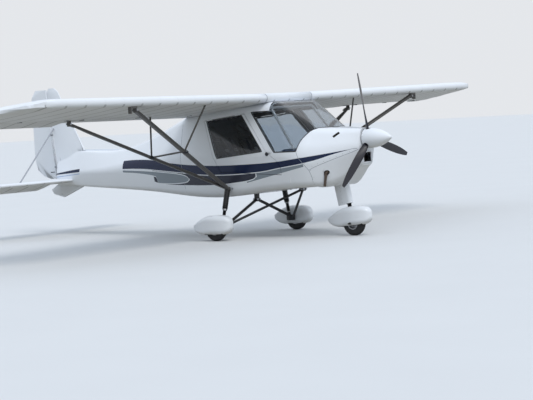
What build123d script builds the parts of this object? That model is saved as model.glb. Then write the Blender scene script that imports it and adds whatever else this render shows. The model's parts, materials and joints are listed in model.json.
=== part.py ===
from build123d import *
import math
import os

# High-wing three-axis microlight aeroplane, two seats side by side, on a fixed nose-wheel gear.
# Millimetres. +X is the nose, +Y is port, +Z is up. The origin is on the ground, half way
# between the spinner's tip and the rudder's trailing edge.

# Ground gear
AXLE_X = 966.0                # main axle
TYRE_R = 155.0                # all three tyres
TYRE_W = 100.0
RIM_R = 78.0
RIM_W = 84.0
AXLE_R = 12.0
BORE_CLEAR = 0.5
TRACK = 1636.0                # between the main tyres' middles
WHEELBASE = 1565.0
WHEEL_CLEAR = 8.0             # air round a tyre in its spat

# Body shell
WALL = 20.0                   # cabin and door wall
COWL_WALL = 8.0
GLASS = 6.0
PLATE = 12.0                  # firewall and rear bulkhead
COWL_REAR_X = 2196.0          # where the cowl meets the cabin
BELT_Z = 1062.0               # where the cabin's upper and lower mouldings meet
SCREEN_SILL_Z = 1085.0        # foot of the windscreen at the side
ROOF_FRONT_X = 1676.0         # upper edge of the windscreen on the centreline
DOOR_GAP = 6.0
DOOR_HINGE_LOW = (580.0, 499.0, 1519.0)
DOOR_HINGE_HIGH = (1275.0, 515.0, 1585.0)
KNUCKLE_R = 9.0
KNUCKLE_LENGTH = 36.0
KNUCKLE_GAP = 1.5

# Wing
WING_LE_X = 1622.0
WING_LE_Z = 1762.0            # leading edge where the wing meets the cabin
CHORD = 1467.0
INCIDENCE = 7.3
DIHEDRAL = 0.66
ROOT_Y = 450.0
TIP_LE_Y = 4263.0
SEMI_SPAN = 4950.0
TIP_CORNER_R = 200.0
TIP_TAPER = 420.0             # how far in from the tip the upper surface starts to fall
TIP_EDGE = (-20.0, 18.0)      # lower and upper side of the tip's edge, from the chord line
HINGE_U = 1157.0              # flap and aileron hinge, along the chord
HINGE_V = 12.0                # and above it
HINGE_R = 36.0                # round nose of a flap or aileron
FLAP_SPAN = (170.0, 2250.0)   # from the root rib
AILERON_SPAN = (2360.0, 4250.0)
AILERON_PARKED = 8.0          # starboard down and port up as it stands
MOVE_CLEAR = 7.0              # air round a control surface

# Wing struts
STRUT_CHORD = 92.0
STRUT_THICK = 36.0
STRUT_FOOT = (986.0, 556.0, 642.0)
STRUT_FRONT_TOP = (1566.0, 2777.0, 1700.0)
STRUT_REAR_TOP = (465.0, 2777.0, 1580.0)
JURY_SHARE = 0.5              # jury strut's foot, as a share of the strut's length
JURY_R = 11.0
JURY_FRONT_TOP = (1520.0, 1500.0, 1735.0)
JURY_REAR_TOP = (539.0, 1450.0, 1625.0)
LUG_HALF = 24.0
TIE_DOWN_R = 8.0
TIE_DOWN_PLATE = 16.0
TIE_DOWN_OUT = 92.0           # eye plate's outer face, outboard of the strut's top

# Tail
TAIL_HINGE_X = -2714.0
TAIL_LE_X = -2317.0
TAIL_TE_X = -3034.0
TAIL_Z = 784.0                # tailplane's leading edge
TAIL_INCIDENCE = 3.0
TAIL_SEMI_SPAN = 1350.0
TAIL_THICK = 64.0
TAIL_TIP_SWEEP = 110.0
ELEVATOR_Y = 170.0            # inner end of each elevator half
ELEVATOR_TUBE_R = 15.0
ELEVATOR_NOSE_R = 34.0
ELEVATOR_PARKED = 18.0        # hanging down as it stands
FIN_THICK = 60.0
RUDDER_TE_X = -3162.0
RUDDER_HINGE_LOW = (-2738.0, 0.0, 830.0)
RUDDER_HINGE_HIGH = (-2866.0, 0.0, 2040.0)
RUDDER_NOSE_R = 16.0
RUDDER_TOP_Z = 2086.0
TAIL_STRUT_R = 10.0
TAIL_STRUT_TOP = (-2740.0, 0.0, 1540.0)
TAIL_STRUT_FOOT = (-2600.0, 850.0, 795.0)
VENTRAL_THICK = 24.0
VENTRAL_BORE_R = 9.0

# Propeller
HUB_Z = 1200.0
PROP_X = 2836.0
PROP_R = 816.0
BLADES = 3
FIRST_BLADE = 13.0            # degrees from upright towards starboard
HUB_R = 58.0
HUB_LENGTH = 66.0
SPINNER_BASE_X = 2793.0
SPINNER_TIP_X = 3162.0
SPINNER_R = 121.0
SPINNER_WALL = 4.0
SHAFT_R = 28.0
PIPE_R = 17.0
SEAT_CLEAR = 8.0

# Undercarriage legs
LEG_R = 19.0
HUB_END = (1010.0, 690.0, 176.0)
REAR_PIVOT = (980.0, 0.0, 470.0)
FRONT_PIVOT = (1750.0, 0.0, 590.0)
SHOCK_TOP = (974.0, 566.0, 640.0)
SHOCK_FOOT = (960.0, 676.0, 212.0)
SHOCK_R = 34.0
SHOCK_ROD_R = 21.0
SHOCK_SPLIT = 0.58            # where the rod leaves the cylinder
MAIN_SPAT_HALF = 100.0
NOSE_SPAT_HALF = 98.0
SPAT_INSIDE = 62.0            # half width of the wheel well

# Steered nose leg
STEER_TOP = (2420.0, 0.0, 626.0)
STEER_LOW = (2470.0, 0.0, 382.0)
NOSE_LEG_R = 31.0
STEM_R = 25.0
FORK_PLATE = 6.0
FORK_CLEAR = 5.0
TOW_PIN_R = 10.0
TOW_PIN_LENGTH = 24.0
FAIRING_CHORD = 228.0
FAIRING_THICK = 90.0
COLLAR_R = 15.0
TOW_NECK = 3.0                # groove between the collar and the tow pin
TOW_NECK_R = 8.5
NOSE_SPAT_TILT = 4.0

NOSE_AXLE_X = AXLE_X + WHEELBASE
WHEEL_Y = TRACK / 2


def ring(station, inset, shift=0.0):
    """One closed cross-section of the body, moved inwards by a wall's thickness."""
    x, z_low, w_low, w_mid, z_mid, w_top, z_top, r_low, r_mid, r_top = station
    low, mid, top = w_low - inset * 0.6, w_mid - inset, w_top - inset * 0.6
    corners = [(low, z_low + inset), (mid, z_mid), (top, z_top - inset),
               (-top, z_top - inset), (-mid, z_mid), (-low, z_low + inset)]
    radii = [r_low, r_mid, r_top, r_top, r_mid, r_low]
    wire = FilletPolyline(*[(x + shift, y, z) for y, z in corners], radius=radii, close=True)
    return Face(Wire(wire.edges()))


# Sections of the body from nose to tail. Columns: station, height and half width of the
# bottom corner, half width and height of the widest point, half width and height of the
# top corner, and the radii at the bottom, at the side and at the top.
COWL = [
    (2776.0, 872.0, 108.0, 168.0, 1120.0, 112.0, 1322.0, 60.0, 130.0, 84.0),
    (2636.0, 776.0, 180.0, 305.0, 1085.0, 188.0, 1332.0, 90.0, 220.0, 120.0),
    (2496.0, 676.0, 272.0, 410.0, 1060.0, 257.0, 1342.0, 110.0, 280.0, 150.0),
    (2256.0, 634.0, 425.0, 548.0, 1045.0, 335.0, 1355.0, 120.0, 320.0, 170.0),
]
SCREEN = [
    COWL[-1],
    (2126.0, 628.0, 475.0, 588.0, 1060.0, 360.0, 1440.0, 120.0, 320.0, 170.0),
    (1936.0, 620.0, 505.0, 600.0, 1070.0, 425.0, 1563.0, 120.0, 320.0, 160.0),
    (1702.0, 605.0, 520.0, 604.0, 1078.0, 478.0, 1712.0, 120.0, 320.0, 150.0),
]
CABIN = [
    SCREEN[-1],
    (1350.0, 572.0, 525.0, 604.0, 1080.0, 486.0, 1700.0, 120.0, 320.0, 150.0),
    (1002.0, 538.0, 525.0, 602.0, 1080.0, 486.0, 1680.0, 120.0, 320.0, 150.0),
    (486.0, 528.0, 495.0, 572.0, 1066.0, 458.0, 1642.0, 120.0, 320.0, 150.0),
    (155.0, 546.0, 440.0, 528.0, 1050.0, 410.0, 1590.0, 110.0, 300.0, 140.0),
]
TAIL = [
    CABIN[-1],
    (-86.0, 567.0, 405.0, 494.0, 1035.0, 330.0, 1517.0, 105.0, 270.0, 130.0),
    (-511.0, 603.0, 335.0, 422.0, 1010.0, 230.0, 1376.0, 95.0, 230.0, 100.0),
    (-1202.0, 645.0, 231.0, 307.0, 950.0, 141.0, 1203.0, 72.0, 170.0, 75.0),
    (-2122.0, 690.0, 100.0, 156.0, 900.0, 42.0, 1190.0, 40.0, 80.0, 28.0),
    (-2694.0, 706.0, 30.0, 62.0, 852.0, 24.0, 1040.0, 15.0, 40.0, 14.0),
]


def hull(stations, inset=0.0, front_wall=0.0, rear_wall=0.0):
    """A solid through the given stations, inset by a wall and shortened at its ends."""
    last = len(stations) - 1
    faces = []
    for index, station in enumerate(stations):
        shift = -front_wall if index == 0 else (rear_wall if index == last else 0.0)
        faces.append(ring(station, inset, shift))
    return loft(faces)


def side_prism(outline, y_from, y_to):
    """A side-view outline of (x, z) corners, pushed across the body."""
    wire = Wire.make_polygon([(x, y_from, z) for x, z in outline], close=True)
    return Solid.extrude(Face(wire), Vector(0, y_to - y_from, 0))


def slab(x0, x1, y0, y1, z0, z1):
    """A box between two corners."""
    size = (x1 - x0, y1 - y0, z1 - z0)
    return Pos((x0 + x1) / 2, (y0 + y1) / 2, (z0 + z1) / 2) * Box(*size)


def rod(start, end, radius):
    """A round bar from one point to another."""
    run = Vector(*end) - Vector(*start)
    return Solid.make_cylinder(radius, run.length, Plane(origin=start, z_dir=run))


def faired(start, end, chord, thick):
    """A streamlined tube from one point to another, its chord lying fore and aft."""
    run = Vector(*end) - Vector(*start)
    along = run.normalized()
    fore = Vector(1, 0, 0) - along * along.X
    plane = Plane(origin=start, x_dir=fore, z_dir=run)
    half = thick / 2
    nose = half * 1.3
    shoulder = half * 0.92
    front = ThreePointArc((nose - half, shoulder), (nose, 0), (nose - half, -shoulder))
    lower = ThreePointArc((nose - half, -shoulder), (-chord * 0.25, -half * 0.86), (nose - chord, 0))
    upper = ThreePointArc((nose - chord, 0), (-chord * 0.25, half * 0.86), (nose - half, shoulder))
    face = Face(Wire([front.edge(), lower.edge(), upper.edge()]))
    return Solid.extrude(plane.from_local_coords(face), run)


def lens(x_nose, x_tail, thick, z, y=0.0):
    """A symmetric section in plan, round-nosed and sharp-tailed."""
    middle = x_nose + (x_tail - x_nose) * 0.42
    half = thick / 2
    nose_r = half * 0.5
    start = x_nose - nose_r
    front = ThreePointArc((start, y - nose_r, z), (x_nose, y, z), (start, y + nose_r, z))
    port = ThreePointArc((start, y + nose_r, z), (middle, y + half, z), (x_tail, y + half * 0.5, z))
    end = Line((x_tail, y + half * 0.5, z), (x_tail, y - half * 0.5, z))
    starboard = ThreePointArc((x_tail, y - half * 0.5, z), (middle, y - half, z),
                              (start, y - nose_r, z))
    return Face(Wire([front.edge(), port.edge(), end.edge(), starboard.edge()]))


def mirrored(shape):
    """The same piece on the other side."""
    return mirror(shape, about=Plane.XZ)


def one(shape):
    """The largest solid of a shape."""
    return max(shape.solids(), key=lambda solid: solid.volume)


parts = {}


def both(name, shape):
    """A port piece and its starboard twin."""
    parts[name + "_port"] = shape
    parts[name + "_starboard"] = mirrored(shape)


# Body shells
cowl_outer = hull(COWL)
screen_outer = hull(SCREEN)
cabin_outer = hull(CABIN)
tail_outer = hull(TAIL)
cowl_inner = hull(COWL, COWL_WALL, front_wall=COWL_WALL)
screen_inner = hull(SCREEN, WALL)
cabin_inner = hull(CABIN, WALL)
tail_inner = hull(TAIL, WALL * 0.5, rear_wall=WALL)
front_outer = screen_outer + cabin_outer
front_inner = screen_inner + cabin_inner
front_glass = hull(SCREEN, GLASS) + hull(CABIN, GLASS)
front_shell = front_outer - front_inner

FAR = 6000.0
SIDE = 900.0                  # beyond the body's greatest half width
SCREEN_AHEAD = 274.0
SCREEN_SLOPE = 3.4            # rise of the cowl's upper edge beyond the arch
screen_outline = [
    (1791.0, SCREEN_SILL_Z), (1386.0, 1598.0), (ROOF_FRONT_X, 1598.0), (ROOF_FRONT_X, 1800.0),
    (2256.0 + SCREEN_AHEAD, 1800.0), (2256.0 + SCREEN_AHEAD, 1362.0 + SCREEN_AHEAD * SCREEN_SLOPE),
    (2256.0, 1362.0), (2215.0, 1325.0), (2175.0, 1273.0), (2140.0, 1209.0),
    (2110.0, SCREEN_SILL_Z),
]
screen_zone = side_prism(screen_outline, -SIDE, SIDE)
door_outline = [
    (DOOR_HINGE_HIGH[0], DOOR_HINGE_HIGH[2]), (1668.0, 1098.0), (1805.0, 990.0), (1861.0, 897.0),
    (1856.0, 800.0), (880.0, 850.0), (800.0, 1000.0), (DOOR_HINGE_LOW[0], DOOR_HINGE_LOW[2]),
]
window_outline = [(629.0, 1510.0), (1230.0, 1564.0), (1600.0, 1102.0), (846.0, 1035.0)]
DOOR_FROM_Y = 300.0
door_zone = side_prism(door_outline, DOOR_FROM_Y, SIDE)
door_hole = door_zone + mirrored(door_zone)

windscreen = (screen_outer + cabin_outer - front_glass) & screen_zone
cabin_shell = front_shell - screen_zone - door_hole
cowl_side = slab(COWL_REAR_X, FAR, -SIDE, SIDE, 0, FAR)
above = slab(-FAR, FAR, -SIDE, SIDE, BELT_Z, FAR)
parts["windscreen"] = windscreen
parts["cabin_tub"] = cabin_shell - cowl_side - above
cabin_roof = (cabin_shell - cowl_side) & above
parts["rear_fuselage"] = tail_outer - tail_inner

# Cowl, with the air intake in its chin
INTAKE = (2600.0, 2900.0, -84.0, 84.0, 905.0, 1035.0)
COWL_SPLIT_Z = 1078.0
cowl_rear = (screen_outer - hull(SCREEN, COWL_WALL)) & cowl_side
cowl = (cowl_outer - cowl_inner) + (cowl_rear - screen_zone)
cowl = cowl - slab(*INTAKE)
upper_zone = slab(0, FAR, -SIDE, SIDE, COWL_SPLIT_Z, FAR)
cowl_upper = cowl & upper_zone
cowl_lower = cowl - upper_zone

# Firewall and rear bulkhead
REAR_BULKHEAD_X = 300.0
firewall = front_inner & slab(COWL_REAR_X - PLATE, COWL_REAR_X, -SIDE, SIDE, 0, FAR)
parts["firewall"] = firewall - screen_zone
parts["rear_bulkhead"] = front_inner & slab(REAR_BULKHEAD_X - PLATE, REAR_BULKHEAD_X,
                                            -SIDE, SIDE, 0, FAR)

# Doors, hinged along the roof's edge
door_wire = Wire.make_polygon([(x, 0, z) for x, z in door_outline], close=True)
inner_wire = door_wire.offset_2d(-DOOR_GAP, kind=Kind.INTERSECTION)
if inner_wire.length > door_wire.length:
    inner_wire = door_wire.offset_2d(DOOR_GAP, kind=Kind.INTERSECTION)
door_face = Face(Wire(inner_wire.edges()))
door_panel_zone = Pos(0, DOOR_FROM_Y, 0) * Solid.extrude(door_face, Vector(0, SIDE - DOOR_FROM_Y, 0))
window_zone = side_prism(window_outline, DOOR_FROM_Y, SIDE)
door = (front_shell & door_panel_zone) - window_zone
door_glass = (front_outer - front_glass) & window_zone


def on_door_hinge(share, offset=0.0):
    """A point of the door's hinge line, moved along it."""
    start = Vector(*DOOR_HINGE_LOW)
    run = Vector(*DOOR_HINGE_HIGH) - start
    point = start + run * share + run.normalized() * offset
    return (point.X, point.Y, point.Z)


def knuckle(share, first, last, radius=KNUCKLE_R):
    """One barrel of a hinge, between two places along the hinge line."""
    return rod(on_door_hinge(share, first), on_door_hinge(share, last), radius)


HINGE_SHARES = (0.14, 0.84)
HALF_BARREL = KNUCKLE_LENGTH / 2
OUTER_FROM = HALF_BARREL + KNUCKLE_GAP
OUTER_TO = OUTER_FROM + HALF_BARREL
ROOM_R = KNUCKLE_R + DOOR_GAP
for share in HINGE_SHARES:
    middle_room = knuckle(share, -OUTER_FROM, OUTER_FROM, ROOM_R)
    cabin_roof = cabin_roof - middle_room - mirrored(middle_room)
    for first, last in ((-OUTER_TO, -OUTER_FROM), (OUTER_FROM, OUTER_TO)):
        barrel = knuckle(share, first, last)
        cabin_roof = cabin_roof + barrel + mirrored(barrel)
        door = door - knuckle(share, first - KNUCKLE_GAP, last + KNUCKLE_GAP, ROOM_R)
    door = door + knuckle(share, -HALF_BARREL, HALF_BARREL)
both("door", door)
both("door_glass", door_glass)
parts["cabin_roof"] = cabin_roof

# Instrument panel, seats, stick and engine
PANEL_FACE = (1900.0, 1960.0, -700.0, 700.0, 900.0, 1110.0)
PANEL_COVER = (1960.0, 2150.0, -700.0, 700.0, 1085.0, 1110.0)
parts["instrument_panel"] = front_inner & (slab(*PANEL_FACE) + slab(*PANEL_COVER))
SEAT_SIDES = (60.0, 520.0)
seat_profile = [(1500, 640), (1500, 770), (1040, 720), (700, 1270), (610, 1250), (940, 600)]
seat_space = hull(CABIN, WALL + SEAT_CLEAR)
both("seat", side_prism(seat_profile, *SEAT_SIDES) & seat_space)
STICK_FOOT = (1640.0, 0.0, 560.0)
STICK_NECK = (1600.0, 0.0, 890.0)
STICK_TOP = (1596.0, 0.0, 1010.0)
STICK_R = 14.0
GRIP_R = 20.0
stick = rod(STICK_FOOT, STICK_NECK, STICK_R) + rod(STICK_NECK, STICK_TOP, GRIP_R)
parts["control_stick"] = stick & front_inner
ENGINE_BOX = (2290.0, 2640.0, -180.0, 180.0, 900.0, 1240.0)
GEARBOX_X = 2720.0
GEARBOX_R = 70.0
GEARBOX_SINK = 10.0
engine = slab(*ENGINE_BOX)
engine = engine + rod((ENGINE_BOX[1] - GEARBOX_SINK, 0, HUB_Z), (GEARBOX_X, 0, HUB_Z), GEARBOX_R)
parts["engine_block"] = engine

# Exhaust pipe, out through the cowl's side
PIPE_ROUTE = [(2440.0, -150.0, 910.0), (2425.0, -384.0, 800.0), (2404.0, -396.0, 640.0)]
PIPE_WALL = 3.0
HOLE_CLEAR = 14.0
pipe = rod(*PIPE_ROUTE[:2], PIPE_R) + rod(*PIPE_ROUTE[1:], PIPE_R)
pipe = pipe + Pos(*PIPE_ROUTE[1]) * Sphere(PIPE_R)
pipe_room = rod(*PIPE_ROUTE[:2], PIPE_R + HOLE_CLEAR) + rod(*PIPE_ROUTE[1:], PIPE_R + HOLE_CLEAR)
pipe_room = pipe_room + Pos(*PIPE_ROUTE[1]) * Sphere(PIPE_R + HOLE_CLEAR)
cowl_lower = cowl_lower - pipe_room
parts["exhaust_pipe"] = one(pipe - rod(*PIPE_ROUTE[1:], PIPE_R - PIPE_WALL) - engine)
COWL_FRONT_X = 2900.0
SHAFT_HOLE_R = 53.0
shaft_hole = rod((GEARBOX_X, 0, HUB_Z), (COWL_FRONT_X, 0, HUB_Z), SHAFT_HOLE_R)
parts["cowl_upper"] = cowl_upper - shaft_hole
cowl_lower = cowl_lower - shaft_hole


# Wing, in its own frame: x along the chord to the rear, y up, z outwards along the span
def wing_profile():
    """The wing's section, from straight and round edges."""
    nose = ThreePointArc((60, 62), (0, 8), (60, -45))
    upper_front = ThreePointArc((440, 100), (230, 92), (60, 62))
    upper_rear = ThreePointArc((CHORD, 4), (960, 68), (440, 100))
    tail = Line((CHORD, -4), (CHORD, 4))
    lower = ThreePointArc((60, -45), (700, -40), (CHORD, -4))
    edges = [nose, lower, tail, upper_rear, upper_front]
    return Face(Wire([piece.edge() for piece in edges]))


tilt, rise = math.radians(INCIDENCE), math.radians(DIHEDRAL)
chord_way = Vector(-math.cos(tilt), 0, -math.sin(tilt))
span_way = Vector(0, math.cos(rise), math.sin(rise))
wing_plane = Plane(origin=(WING_LE_X, ROOT_Y, WING_LE_Z), x_dir=chord_way, z_dir=span_way)
wing_local = Solid.extrude(wing_profile(), Vector(0, 0, SEMI_SPAN))

# The tip's edge is thin: both surfaces fall to it along a slanted line
TIP_RUN_ON = 600.0
WEDGE = 300.0
PROFILE_TOP = 112.0
PROFILE_LOW = -52.0
LOW_TAPER = 170.0
tip_front = Vector(0, 0, TIP_LE_Y - ROOT_Y)
tip_way = (Vector(CHORD, 0, SEMI_SPAN - ROOT_Y) - tip_front).normalized()
tip_inboard = Vector(tip_way.Z, 0, -tip_way.X)
tip_plane = Plane(origin=tip_front - tip_way * TIP_RUN_ON, x_dir=tip_inboard, z_dir=tip_way)
upper_wedge = [(-WEDGE, TIP_EDGE[1]), (0, TIP_EDGE[1]), (TIP_TAPER, PROFILE_TOP),
               (TIP_TAPER, WEDGE), (-WEDGE, WEDGE)]
lower_wedge = [(-WEDGE, TIP_EDGE[0]), (0, TIP_EDGE[0]), (LOW_TAPER, PROFILE_LOW),
               (LOW_TAPER, -WEDGE), (-WEDGE, -WEDGE)]
for corners in (upper_wedge, lower_wedge):
    wedge_face = Face(Wire.make_polygon([(x, y, 0) for x, y in corners], close=True))
    wedge_run = tip_way * (CHORD + 2 * TIP_RUN_ON)
    wing_local = wing_local - Solid.extrude(tip_plane.from_local_coords(wedge_face), wedge_run)
wing_local = one(wing_local)


def surface(span, parked=0.0):
    """A flap or aileron: the profile behind its hinge, with a round nose, as it is parked."""
    s0, s1 = span
    block = Pos(HINGE_U + CHORD / 2, 0, (s0 + s1) / 2) * Box(CHORD, FAR, s1 - s0)
    nose = Pos(HINGE_U, HINGE_V, s0) * Solid.make_cylinder(HINGE_R, s1 - s0)
    piece = (wing_local & block) + nose
    return piece.rotate(Axis((HINGE_U, HINGE_V, 0), (0, 0, 1)), parked)


def surface_room(span):
    """The space that a flap or aileron moves in."""
    s0, s1 = span[0] - MOVE_CLEAR, span[1] + MOVE_CLEAR
    block = Pos(HINGE_U + CHORD / 2, 0, (s0 + s1) / 2) * Box(CHORD, FAR, s1 - s0)
    nose = Pos(HINGE_U, HINGE_V, s0) * Solid.make_cylinder(HINGE_R + MOVE_CLEAR, s1 - s0)
    return block + nose


wing = wing_plane.location * (wing_local - surface_room(FLAP_SPAN) - surface_room(AILERON_SPAN))
plan_corners = [(WING_LE_X + 2, ROOT_Y), (WING_LE_X + 2, TIP_LE_Y), (WING_LE_X - CHORD, SEMI_SPAN),
                (-SIDE, SEMI_SPAN), (-SIDE, ROOT_Y)]
plan_radii = [1, TIP_CORNER_R, 1, 1, 1]
plan_wire = FilletPolyline(*[(x, y, 0) for x, y in plan_corners], radius=plan_radii, close=True)
plan = Solid.extrude(Face(Wire(plan_wire.edges())), Vector(0, 0, FAR))
both("wing", one((wing & plan) - cabin_outer - tail_outer))
both("flap", wing_plane.location * surface(FLAP_SPAN))
parts["aileron_port"] = wing_plane.location * surface(AILERON_SPAN, AILERON_PARKED)
parts["aileron_starboard"] = mirrored(wing_plane.location * surface(AILERON_SPAN, -AILERON_PARKED))
flap_room = wing_plane.location * surface_room(FLAP_SPAN)
aileron_room = wing_plane.location * surface_room(AILERON_SPAN)

# Centre section over the cabin, with the wing's own profile
root_plane = Plane(origin=(WING_LE_X, -ROOT_Y, WING_LE_Z), x_dir=chord_way, z_dir=(0, 1, 0))
centre = root_plane.location * Solid.extrude(wing_profile(), Vector(0, 0, 2 * ROOT_Y))
parts["centre_section"] = one(centre - front_outer - tail_outer)

# Wing struts, with the lugs that carry them and a tie-down eye
FOOT_R = 26.0
foot_x, foot_y, foot_z = STRUT_FOOT
foot_tube = rod((foot_x, 300, foot_z), (foot_x, foot_y + 24, foot_z), FOOT_R)
top_x, top_y, top_z = STRUT_FRONT_TOP
rear_x, rear_y, rear_z = STRUT_REAR_TOP
LUG_PLATE = 20.0
LUG_LOW, LUG_HIGH = 30.0, 80.0
EYE_DROP = 20.0               # the eye's middle below the strut's top
lug_sides = (top_y - LUG_PLATE / 2, top_y + LUG_PLATE / 2)
front_lug = slab(top_x - LUG_HALF, top_x + LUG_HALF, *lug_sides, top_z - LUG_LOW, top_z + LUG_HIGH)
rear_lug = slab(rear_x - LUG_HALF, rear_x + LUG_HALF, *lug_sides, rear_z - LUG_LOW, rear_z + LUG_HIGH)
eye_end = top_y + TIE_DOWN_OUT
eye_bridge = slab(top_x - LUG_HALF, top_x + LUG_HALF, top_y, eye_end, top_z + 18, top_z + LUG_HIGH)
eye_plate = slab(top_x - LUG_HALF, top_x + LUG_HALF, eye_end - TIE_DOWN_PLATE, eye_end,
                 top_z - EYE_DROP - LUG_HALF, top_z + LUG_HIGH)
eye_middle = Pos(top_x, eye_end - TIE_DOWN_PLATE / 2, top_z - EYE_DROP)
eye_hole = eye_middle * Rot(90, 0, 0) * Cylinder(TIE_DOWN_R, 4 * TIE_DOWN_PLATE)
strut_room = parts["wing_port"] + cabin_outer + flap_room + aileron_room
front_strut = faired(STRUT_FOOT, STRUT_FRONT_TOP, STRUT_CHORD, STRUT_THICK)
front_strut = front_strut + foot_tube + front_lug + eye_bridge + eye_plate - eye_hole - strut_room
rear_strut = faired(STRUT_FOOT, STRUT_REAR_TOP, STRUT_CHORD, STRUT_THICK) + rear_lug - strut_room
both("front_strut", one(front_strut))
both("rear_strut", one(rear_strut - front_strut))


def on_strut(top, share):
    """A point part way along a strut."""
    return tuple(low + (high - low) * share for low, high in zip(STRUT_FOOT, top))


# Jury struts, from the wing struts' middles up to the wing
jury_front = on_strut(STRUT_FRONT_TOP, JURY_SHARE)
jury_rear = on_strut(STRUT_REAR_TOP, JURY_SHARE)
jury = rod(jury_front, JURY_FRONT_TOP, JURY_R) + rod(jury_rear, JURY_REAR_TOP, JURY_R)
jury = jury + rod(jury_front, jury_rear, JURY_R)
jury = jury - parts["wing_port"] - parts["front_strut_port"] - parts["rear_strut_port"] - flap_room
both("jury_struts", jury)

# Fin and rudder
fin_faces = [lens(-2030, -2706, FIN_THICK, 1000), lens(-2620, -2838, FIN_THICK * 0.62, 2050),
             lens(-2690, -2812, FIN_THICK * 0.3, 2106)]
DORSAL_HALF = 12.0
dorsal_outline = [(-1190, 1196), (-2100, 1210), (-2300, 1210), (-2300, 1080), (-1190, 1130)]
fin = loft(fin_faces, ruled=True) + side_prism(dorsal_outline, -DORSAL_HALF, DORSAL_HALF)


def on_rudder_hinge(z):
    """The point of the rudder's hinge line at a height."""
    low, high = RUDDER_HINGE_LOW, RUDDER_HINGE_HIGH
    share = (z - low[2]) / (high[2] - low[2])
    return (low[0] + (high[0] - low[0]) * share, 0.0, z)


RUDDER_HALF = 15.0
rudder_outline = [(on_rudder_hinge(RUDDER_TOP_Z)[0], RUDDER_TOP_Z), (-3075, RUDDER_TOP_Z),
                  (RUDDER_TE_X, 1974), (RUDDER_TE_X, 1115), (-3116, 939), (-2997, 849),
                  (-2855, 806), (on_rudder_hinge(806)[0], 806)]
rudder = side_prism(rudder_outline, -RUDDER_HALF, RUDDER_HALF)
parts["rudder"] = rudder + rod(on_rudder_hinge(806), on_rudder_hinge(RUDDER_TOP_Z), RUDDER_NOSE_R)
rudder_room = rod(on_rudder_hinge(736), on_rudder_hinge(2134), RUDDER_NOSE_R + MOVE_CLEAR)
parts["fin"] = one(fin - tail_outer - rudder_room)


# Tailplane and elevator
def tail_z(x):
    """The height of the tailplane's middle at a station."""
    return TAIL_Z + (x - TAIL_LE_X) * math.tan(math.radians(TAIL_INCIDENCE))


def tail_section(y, x_nose):
    """The tailplane's and elevator's section at one place along the span."""
    half = TAIL_THICK / 2
    nose_r = half * 0.5
    edge = 3.0
    start = x_nose - nose_r
    middle = x_nose + (TAIL_TE_X - x_nose) * 0.36
    front = ThreePointArc((start, y, tail_z(start) + nose_r), (x_nose, y, tail_z(x_nose)),
                          (start, y, tail_z(start) - nose_r))
    low = ThreePointArc((start, y, tail_z(start) - nose_r), (middle, y, tail_z(middle) - half),
                        (TAIL_TE_X, y, tail_z(TAIL_TE_X) - edge))
    end = Line((TAIL_TE_X, y, tail_z(TAIL_TE_X) - edge), (TAIL_TE_X, y, tail_z(TAIL_TE_X) + edge))
    top = ThreePointArc((TAIL_TE_X, y, tail_z(TAIL_TE_X) + edge), (middle, y, tail_z(middle) + half),
                        (start, y, tail_z(start) + nose_r))
    return Face(Wire([front.edge(), low.edge(), end.edge(), top.edge()]))


tip_section = tail_section(TAIL_SEMI_SPAN, TAIL_LE_X - TAIL_TIP_SWEEP)
half_tail = loft([tail_section(0, TAIL_LE_X), tip_section])
tail_full = half_tail + mirrored(half_tail)
behind = slab(-FAR, TAIL_HINGE_X, -FAR, FAR, 0, 1000)


def on_tail_hinge(y):
    """The point of the elevator's hinge line at a place along the span."""
    return (TAIL_HINGE_X, y, tail_z(TAIL_HINGE_X))


hinge_ends = (on_tail_hinge(-FAR / 4), on_tail_hinge(FAR / 4))
tail_room = behind + rod(*hinge_ends, ELEVATOR_NOSE_R + MOVE_CLEAR)
tube_room = rod(*hinge_ends, ELEVATOR_TUBE_R + MOVE_CLEAR)
parts["tailplane"] = tail_full - tail_room
elevator = (tail_full & behind) - slab(-FAR, 0, -ELEVATOR_Y, ELEVATOR_Y, 0, 1000)
for side in (-1, 1):
    inner, outer = on_tail_hinge(side * ELEVATOR_Y), on_tail_hinge(side * TAIL_SEMI_SPAN)
    elevator = elevator + rod(inner, outer, ELEVATOR_NOSE_R)
elevator = elevator + rod(on_tail_hinge(-ELEVATOR_Y), on_tail_hinge(ELEVATOR_Y), ELEVATOR_TUBE_R)
parts["elevator"] = elevator.rotate(Axis(on_tail_hinge(0), (0, 1, 0)), -ELEVATOR_PARKED)
parts["rear_fuselage"] = one(parts["rear_fuselage"] - parts["tailplane"] - tube_room)
port_strut = rod(TAIL_STRUT_TOP, TAIL_STRUT_FOOT, TAIL_STRUT_R) - parts["fin"] - parts["tailplane"]
port_strut = port_strut - slab(-FAR, 0, -FAR, DORSAL_HALF, 0, FAR)
both("tail_strut", one(port_strut))

# Fin under the tail, with its tie-down hole
VENTRAL_EYE = (-2640.0, 0.0, 580.0)
ventral_outline = [(-2140, 710), (-2608, 539), (-2812, 585), (-2860, 650), (-2700, 735)]
ventral = side_prism(ventral_outline, -VENTRAL_THICK / 2, VENTRAL_THICK / 2)
ventral = ventral - Pos(*VENTRAL_EYE) * Rot(90, 0, 0) * Cylinder(VENTRAL_BORE_R, 4 * VENTRAL_THICK)
parts["ventral_fin"] = one(ventral - tail_outer - parts["tailplane"] - tube_room)

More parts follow.
